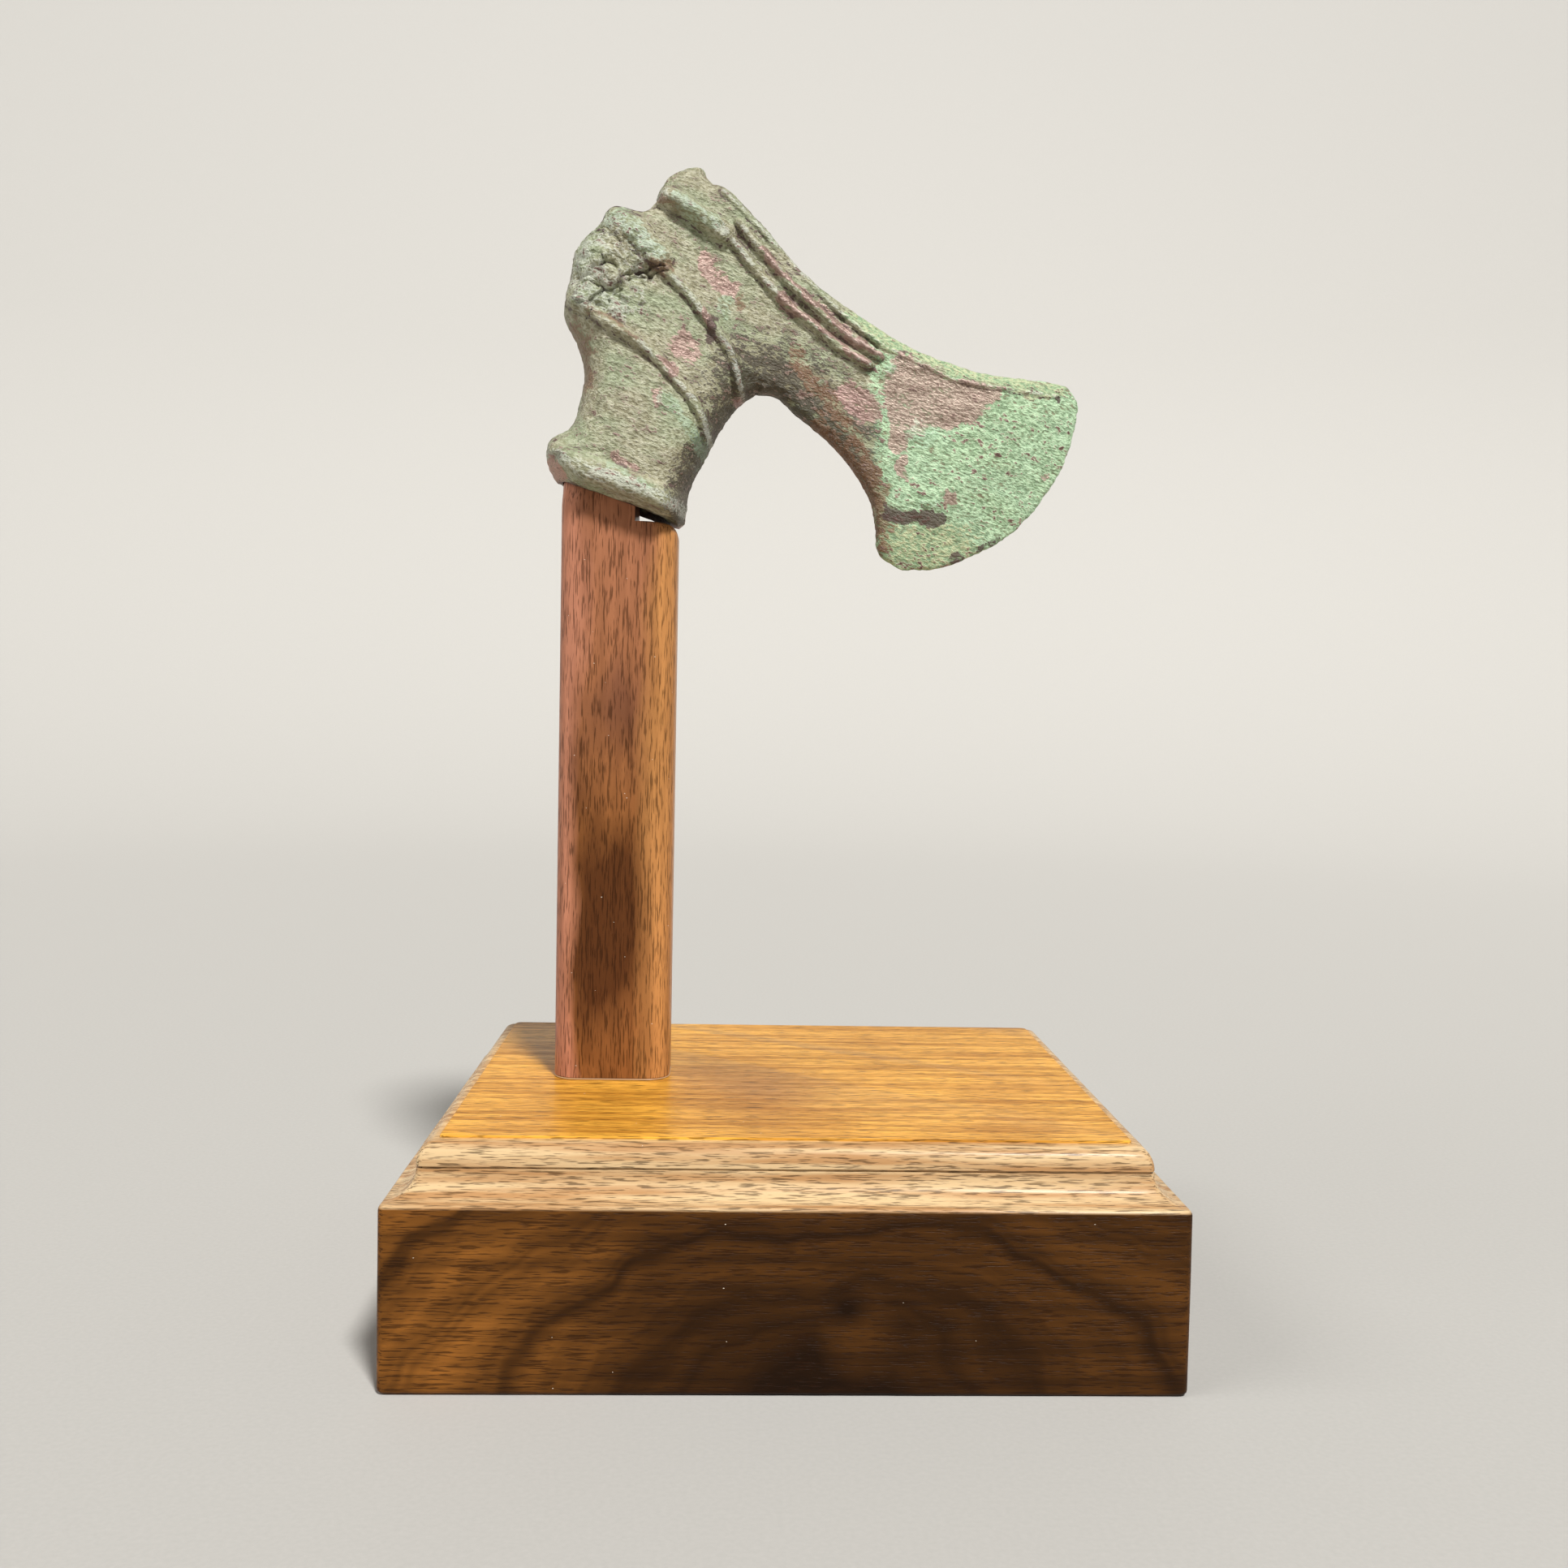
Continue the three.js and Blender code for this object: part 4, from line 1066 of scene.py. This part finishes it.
def plain(name, pale, roughness):
    """A plain finish, faintly mottled: dull lint and dust, slightly glossy dried glue, a matt floor."""
    made, tree, place = material(name)
    noise = add(tree, "ShaderNodeTexNoise", {"Vector": place, "Scale": per_mm(1.2)}).outputs[0]
    share = add(tree, "ShaderNodeMath", {0: noise, 1: 0.15}, operation="MULTIPLY").outputs[0]
    shade = add(tree, "ShaderNodeMix", {0: share, 6: pale, 7: (0.1, 0.09, 0.08, 1)},
                data_type="RGBA").outputs[2]
    shader = add(tree, "ShaderNodeBsdfPrincipled", {"Base Color": shade, "Roughness": roughness})
    add(tree, "ShaderNodeOutputMaterial", {"Surface": shader.outputs[0]})
    return made


# Where the casting shows what


def paint(mesh, name, values):
    """Keeps a number for each vertex, which a material or a node tree reads by name."""
    layer = mesh.attributes.new(name, "FLOAT", "POINT")
    layer.data.foreach_set("value", np.asarray(values, np.float32))


def in_hole(p):
    """1 on the wall of the shaft hole, 0 away from it."""
    left, right, half = hole_walls(p[:, 2])
    across = np.abs(2 * p[:, 0] - left - right) / (right - left)
    deep = np.abs(p[:, 1]) / half
    just_outside, at_the_wall = 1.06, 1.01
    return smoothstep(just_outside, at_the_wall, across ** HOLE_SQUARENESS + deep ** HOLE_SQUARENESS)


def paint_casting(mesh, form):
    """Attributes for the crust, the bare metal, the stains and the painted light and shade, from the patches
    drawn on the front. The back gets looser patches of its own."""
    p = np.zeros(len(mesh.vertices) * 3)
    mesh.vertices.foreach_get("co", p)
    p = p.reshape(-1, 3) / MM - np.array(SEAT)
    front = smoothstep(1.5, -1.5, p[:, 1])
    side = p[:, [0, 2]]
    bays = shaken(side, 2.2, 5.5, 81)
    rough = shaken(bays, 0.9, 1.6, 85)
    hole = in_hole(p)
    open_air = 1 - hole
    back_patch = smoothstep(0.16, 0.3, layered_noise(p, 15, 91)) * (1 - front)
    bare = np.maximum(patches(rough, HOLLOW_BARE + RUBBED_BARE, 0.45) * front, back_patch) * open_air
    turquoise = np.maximum(patches(rough, TURQUOISE, 0.6) * front,
                           smoothstep(0.22, 0.34, layered_noise(p, 9, 95)) * (1 - front)) * open_air
    # Real dark stains on the front, and painted shade over the wall of the shaft hole
    darkening = np.maximum(patches(rough, DARK, 0.35) * front, 0.9 * hole)
    for _, away in form.across_cracks(side):
        darkening = np.maximum(darkening, 0.5 * front * (1 - smoothstep(0.3, 1.1, away)))
    top, foot = form.work_tops_and_feet(side)
    # Painted shade along the feet of the raised work
    darkening = np.maximum(darkening, 0.5 * foot)
    # The butt's lumps join the raised tops in a lighter coat: partly wear, partly painted highlight
    top = np.maximum(top, 0.85 * form.butt(side) * front)
    paint(mesh, "rubbed_and_highlit", top * (0.62 + 0.5 * layered_noise(side, 4, 99)) * open_air)
    # Grime and painted shade towards the belly of the neck and the throat
    paint(mesh, "grime_and_shade", form.grime_and_shade_reach(side) * open_air)
    paint(mesh, "bare_metal", bare)
    paint(mesh, "turquoise", turquoise)
    paint(mesh, "darkening", darkening)
    paint(mesh, "earth", 0.85 * patches(rough, EARTH, 0.8) * open_air)
    paint(mesh, "fracture", patches(rough, FRACTURE, 0.3) * front)
    bevel = patches(rough, BEVEL, 0.5)
    paint(mesh, "blade_green", smoothstep(58, 68, p[:, 0] + 4 * layered_noise(side, 6, 97)) * (1 - bevel))
    tip = smoothstep(5, -3, p[:, 2]) * smoothstep(98, 84, p[:, 0]) * smoothstep(60, 70, p[:, 0])
    paint(mesh, "blade_yellow", np.maximum(tip, bevel))
    paint(mesh, "worn_smooth", np.maximum(bare, hole))


# Operators


def finish_piece(obj, slot, *nodes):
    """Says what body a finished piece rides on and what it replaces. The slot is not used."""
    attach(obj, "root")
    if nodes:
        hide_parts(*nodes)


class AXEHEAD_OT_casting(bpy.types.Operator):
    """Makes the bronze casting: its form, shaft hole, crust and patina"""
    bl_idname = "axe_head.casting"
    bl_label = "Bronze casting"

    def execute(self, context):
        sizes = context.scene.axe_head_casting
        form = CastingForm(sizes)
        points, faces = casting_mesh(form, sizes.lattice / MM)
        head = mesh_object("bronze_axe_head", points, faces)
        cutter = hole_cutter()
        cut = head.modifiers.new("Shaft hole", "BOOLEAN")
        cut.operation = "DIFFERENCE"
        cut.solver = "MANIFOLD"
        cut.object = cutter
        settle(head)
        head.data.materials.clear()
        bpy.data.objects.remove(cutter)
        head.data.transform(Matrix.Translation(SEAT * MM))
        paint_casting(head.data, form)
        run_tree(head, crust_tree(), {
            "Swell Size": sizes.coarse_size, "Swell Height": sizes.coarse_height,
            "Grain Size": sizes.grain_size, "Grain Height": sizes.grain_height,
            "Stretch": CRUST_STRETCH, "Lean": CRUST_LEAN, "Seed": sizes.seed,
            "Material": corroded_bronze(context.scene.axe_head_patina)})
        head.data.shade_smooth()
        finish_piece(head, "patinated_bronze", "axe_head")
        return {"FINISHED"}


def block_section(s):
    """Section of the block's edge as (distance in from the side, height) in mm, foot to top."""
    height, drop, setback, quirk = BASE_HIGH[2], s.mould_drop / MM, s.mould_setback / MM, s.quirk / MM
    ovolo_w, ovolo_h, groove, arris = s.ovolo_width / MM, s.ovolo_height / MM, s.groove / MM, s.arris / MM
    side, worn_foot = 0.02, [(1.2, 0.05), (0.5, 0.3), (0.1, 0.8)]
    foot, step = height - drop, height - quirk
    ovolo_in = setback - quirk
    groove_top = step - ovolo_h
    cove_in, cove_top = ovolo_in - ovolo_w, groove_top - groove
    section = worn_foot + [(side, 1.4)]
    section += [(side, z) for z in np.linspace(6, foot - 4, 5)]
    section += [(side, foot - 0.5), (0.12, foot), (0.35, foot + 0.35), (arris, foot + arris)]
    turns = np.linspace(0, math.pi / 2, 14)[1:]
    section += [(arris + (cove_in - arris) * math.sin(t), cove_top + (foot + arris - cove_top) * math.cos(t))
                for t in turns]
    groove_in = cove_in + 0.8 * groove
    section += [(groove_in, cove_top + 0.1), (groove_in, groove_top - 0.1)]
    section += [(cove_in + ovolo_w * (1 - math.cos(t)), groove_top + ovolo_h * math.sin(t))
                for t in np.linspace(0, math.pi / 2, 12)]
    section += [(setback - 0.1, step), (setback, step + 0.15), (setback + 0.05, height - 0.2),
                (setback + 0.3, height)]
    return section


class AXEHEAD_OT_block(bpy.types.Operator):
    """Makes the walnut block with its moulding and lightly worn edges"""
    bl_idname = "axe_head.block"
    bl_label = "Walnut block"

    def execute(self, context):
        s = context.scene.axe_head_stand
        rings = []
        for inset, z in block_section(s):
            radius = s.corner_radius / MM
            ring = rounded_ring(BASE_LOW[0] + inset, BASE_HIGH[0] - inset, BASE_HIGH[1] - inset, radius, z,
                                *BLOCK_STEPS)
            middle = ring[:, :2].copy()
            wear = 0.06 * value_noise(ring, 12, 5) + 0.05 * value_noise(ring, 3.5, 6)
            inward = middle / np.linalg.norm(middle, axis=1)[:, None]
            ring[:, :2] = middle - inward * (0.08 + wear)[:, None]
            rings.append(ring)
        block = loft("walnut_block", rings)
        block.data.materials.append(block_walnut(s))
        block.data.set_sharp_from_angle(angle=CRISP_ANGLE)
        finish_piece(block, "base_walnut", "stand_base")
        return {"FINISHED"}


class AXEHEAD_OT_post(bpy.types.Operator):
    """Makes the walnut post with its notch and the tongue that goes up into the socket"""
    bl_idname = "axe_head.post"
    bl_label = "Walnut post"

    def execute(self, context):
        s = context.scene.axe_head_stand
        left, right, half = POST_LOW[0], POST_HIGH[0], POST_HIGH[1]
        ease, radius = s.notch_ease / MM, s.post_radius / MM
        rings = []
        heights = np.concatenate([np.linspace(POST_FOOT + 0.3, NOTCH_Z - ease, 60),
                                  NOTCH_Z - ease + ease * np.sin(np.linspace(0, math.pi / 2, 9))[1:]])
        for z in np.concatenate([[POST_FOOT], heights]):
            up = max(z - (NOTCH_Z - ease), 0)
            eased = ease - math.sqrt(max(ease ** 2 - up ** 2, 0))
            foot = 0.25 if z == POST_FOOT else 0
            rings.append(rounded_ring(left + foot, right - eased - foot, half - foot, radius - foot, z,
                                      *POST_STEPS))
        rings += self.tongue_rings(s, radius, left + s.tongue_width / MM)
        post = loft("walnut_post", rings)
        post.data.materials.append(post_walnut(s))
        post.data.set_sharp_from_angle(angle=CRISP_ANGLE)
        finish_piece(post, "post_walnut", "stand_post")
        return {"FINISHED"}

    def tongue_rings(self, s, radius, tongue_right):
        """Rings of the tongue: the bar cut off on the right, which keeps clear of the hole higher up."""
        rings = []
        for z in np.concatenate([[NOTCH_Z], np.linspace(NOTCH_Z + 0.3, TONGUE_TOP - 0.4, 16), [TONGUE_TOP]]):
            ring = rounded_ring(POST_LOW[0], POST_HIGH[0], POST_HIGH[1], radius, z, *POST_STEPS)
            ring[:, 0] = np.minimum(ring[:, 0], tongue_right)
            wall, far, half = hole_walls(z - SEAT.z)
            inset = s.hole_clearance / MM
            middle = np.array([SEAT.x + (wall + far) / 2, 0])
            reach = np.abs(ring[:, :2] - middle) / ((far - wall) / 2 - inset, half - inset)
            over = (reach ** HOLE_SQUARENESS).sum(1) ** (1 / HOLE_SQUARENESS)
            over = np.maximum(over, 1)[:, None]
            share = smoothstep(4, 9, z - NOTCH_Z)
            ring[:, :2] = middle + (ring[:, :2] - middle) / (1 + (over - 1) * share)
            rings.append(ring)
        return rings


class AXEHEAD_OT_dust(bpy.types.Operator):
    """Strews pale specks of dust on the wood and lays the bead of glue round the foot of the post"""
    bl_idname = "axe_head.dust"
    bl_label = "Dust and glue bead"

    def execute(self, context):
        s = context.scene.axe_head_stand
        specks = speck_tree()
        dust = plain("lint_and_dust", s.dust, 0.8)
        for name, carrier, density, seed, slot in DUST:
            obj = bpy.data.objects.new(name, bpy.data.objects[carrier].data.copy())
            context.scene.collection.objects.link(obj)
            run_tree(obj, specks, {"Density": density, "Radius": SPECK_RADIUS * MM, "Seed": seed,
                                   "Material": dust})
            finish_piece(obj, slot)
        ring = rounded_ring(POST_LOW[0] + BEAD_INSET, POST_HIGH[0] - BEAD_INSET, POST_HIGH[1] - BEAD_INSET,
                            s.post_radius / MM, POST_FOOT - BEAD_INSET, POST_STEPS[0], 4)
        mesh = bpy.data.meshes.new("glue_bead")
        count = len(ring)
        mesh.from_pydata((ring * MM).tolist(), [(i, (i + 1) % count) for i in range(count)], [])
        bead = bpy.data.objects.new("glue_bead", mesh)
        context.scene.collection.objects.link(bead)
        run_tree(bead, bead_tree(), {"Radius": BEAD_RADIUS * MM, "Sides": 8,
                                     "Material": plain("dried_glue", s.glue, 0.35)})
        bead.data.shade_smooth()
        finish_piece(bead, "post_walnut")
        return {"FINISHED"}


class AXEHEAD_OT_studio(bpy.types.Operator):
    """Makes the pale floor, the soft lights and the camera"""
    bl_idname = "axe_head.studio"
    bl_label = "Floor, lights and camera"

    def execute(self, context):
        s = context.scene.axe_head_studio
        self.add_floor(s)
        world = bpy.data.worlds.new("pale_surroundings")
        world.use_nodes = True
        world.node_tree.nodes["Background"].inputs["Color"].default_value = s.sky_colour
        world.node_tree.nodes["Background"].inputs["Strength"].default_value = s.sky_strength
        context.scene.world = world
        for name, place, strength, spread in (("key", KEY_PLACE, s.key_strength, s.key_spread),
                                              ("fill", FILL_PLACE, s.fill_strength, 4 * s.key_spread)):
            light = bpy.data.lights.new(name, "SUN")
            light.energy = strength
            light.angle = spread
            lamp = bpy.data.objects.new(name, light)
            lamp.location = Vector(place) * MM
            lamp.rotation_euler = (-lamp.location).to_track_quat("-Z", "Y").to_euler()
            context.scene.collection.objects.link(lamp)
        self.add_camera(context)
        context.scene.view_settings.view_transform = "Standard"
        return {"FINISHED"}

    def add_floor(self, s):
        """A round floor that curves up into a plain backdrop on every side."""
        flat, bend, steepest, sides = s.floor_flat / MM, s.floor_bend / MM, math.radians(60), 96
        turns = np.linspace(0, steepest, 17)
        profile = [(flat * share, 0) for share in (0.2, 0.5, 0.8)]
        profile += [(flat + bend * math.sin(t), bend * (1 - math.cos(t))) for t in turns]
        reach, height = profile[-1]
        top = s.backdrop_height / MM
        profile.append((reach + (top - height) / math.tan(steepest), top))
        around = np.arange(sides) / sides * 2 * math.pi
        points = [(r * math.cos(a), r * math.sin(a), z) for r, z in profile for a in around]
        faces = [tuple(range(sides))]
        for row in range(0, len(points) - sides, sides):
            for i in range(sides):
                j = (i + 1) % sides
                faces.append((row + i, row + sides + i, row + sides + j, row + j))
        floor = mesh_object("floor", points, faces)
        floor.data.materials.append(plain("pale_floor", s.floor_colour, 0.8))

    def add_camera(self, context):
        """The camera stands where the photograph was taken from."""
        data = bpy.data.cameras.new("camera")
        data.sensor_width = SENSOR_MM
        data.lens = CAMERA_LENS
        camera = bpy.data.objects.new("camera", data)
        yaw, pitch, roll = (math.radians(v) for v in CAMERA_TURN)
        across = Vector((math.cos(yaw), -math.sin(yaw), 0))
        ahead = Vector((math.sin(yaw), math.cos(yaw), 0))
        up = Vector((0, 0, 1))
        forward = math.cos(pitch) * ahead + math.sin(pitch) * up
        down = math.sin(pitch) * ahead - math.cos(pitch) * up
        right = math.cos(roll) * across - math.sin(roll) * down
        below = math.sin(roll) * across + math.cos(roll) * down
        turn = Matrix((right, -below, -forward)).transposed().to_4x4()
        camera.matrix_world = Matrix.Translation(Vector(CAMERA_PLACE) * MM) @ turn
        context.scene.collection.objects.link(camera)
        context.scene.camera = camera


STEPS = (AXEHEAD_OT_studio, AXEHEAD_OT_casting, AXEHEAD_OT_block, AXEHEAD_OT_post, AXEHEAD_OT_dust)
SETTINGS = {"axe_head_casting": AxeHeadCasting, "axe_head_patina": AxeHeadPatina,
            "axe_head_stand": AxeHeadStand, "axe_head_studio": AxeHeadStudio}


class AXEHEAD_PT_panel(bpy.types.Panel):
    """Lists the settings and the steps"""
    bl_label = "Axe head"
    bl_idname = "AXEHEAD_PT_panel"
    bl_space_type = "VIEW_3D"
    bl_region_type = "UI"
    bl_category = "Axe head"

    def draw(self, context):
        for name, group in SETTINGS.items():
            box = self.layout.box()
            box.label(text=group.__doc__)
            for key in group.__annotations__:
                box.prop(getattr(context.scene, name), key)
        for step in STEPS:
            self.layout.operator(step.bl_idname)


def register():
    for group in (*SETTINGS.values(), *STEPS, AXEHEAD_PT_panel):
        bpy.utils.register_class(group)
    for name, group in SETTINGS.items():
        setattr(bpy.types.Scene, name, bpy.props.PointerProperty(type=group))


def unregister():
    for name in SETTINGS:
        delattr(bpy.types.Scene, name)
    for group in (AXEHEAD_PT_panel, *reversed(STEPS), *SETTINGS.values()):
        bpy.utils.unregister_class(group)


def main():
    register()
    bpy.ops.axe_head.studio()
    bpy.ops.axe_head.casting()
    bpy.ops.axe_head.block()
    bpy.ops.axe_head.post()
    bpy.ops.axe_head.dust()
    bpy.context.view_layer.update()


if __name__ == "__main__":
    main()
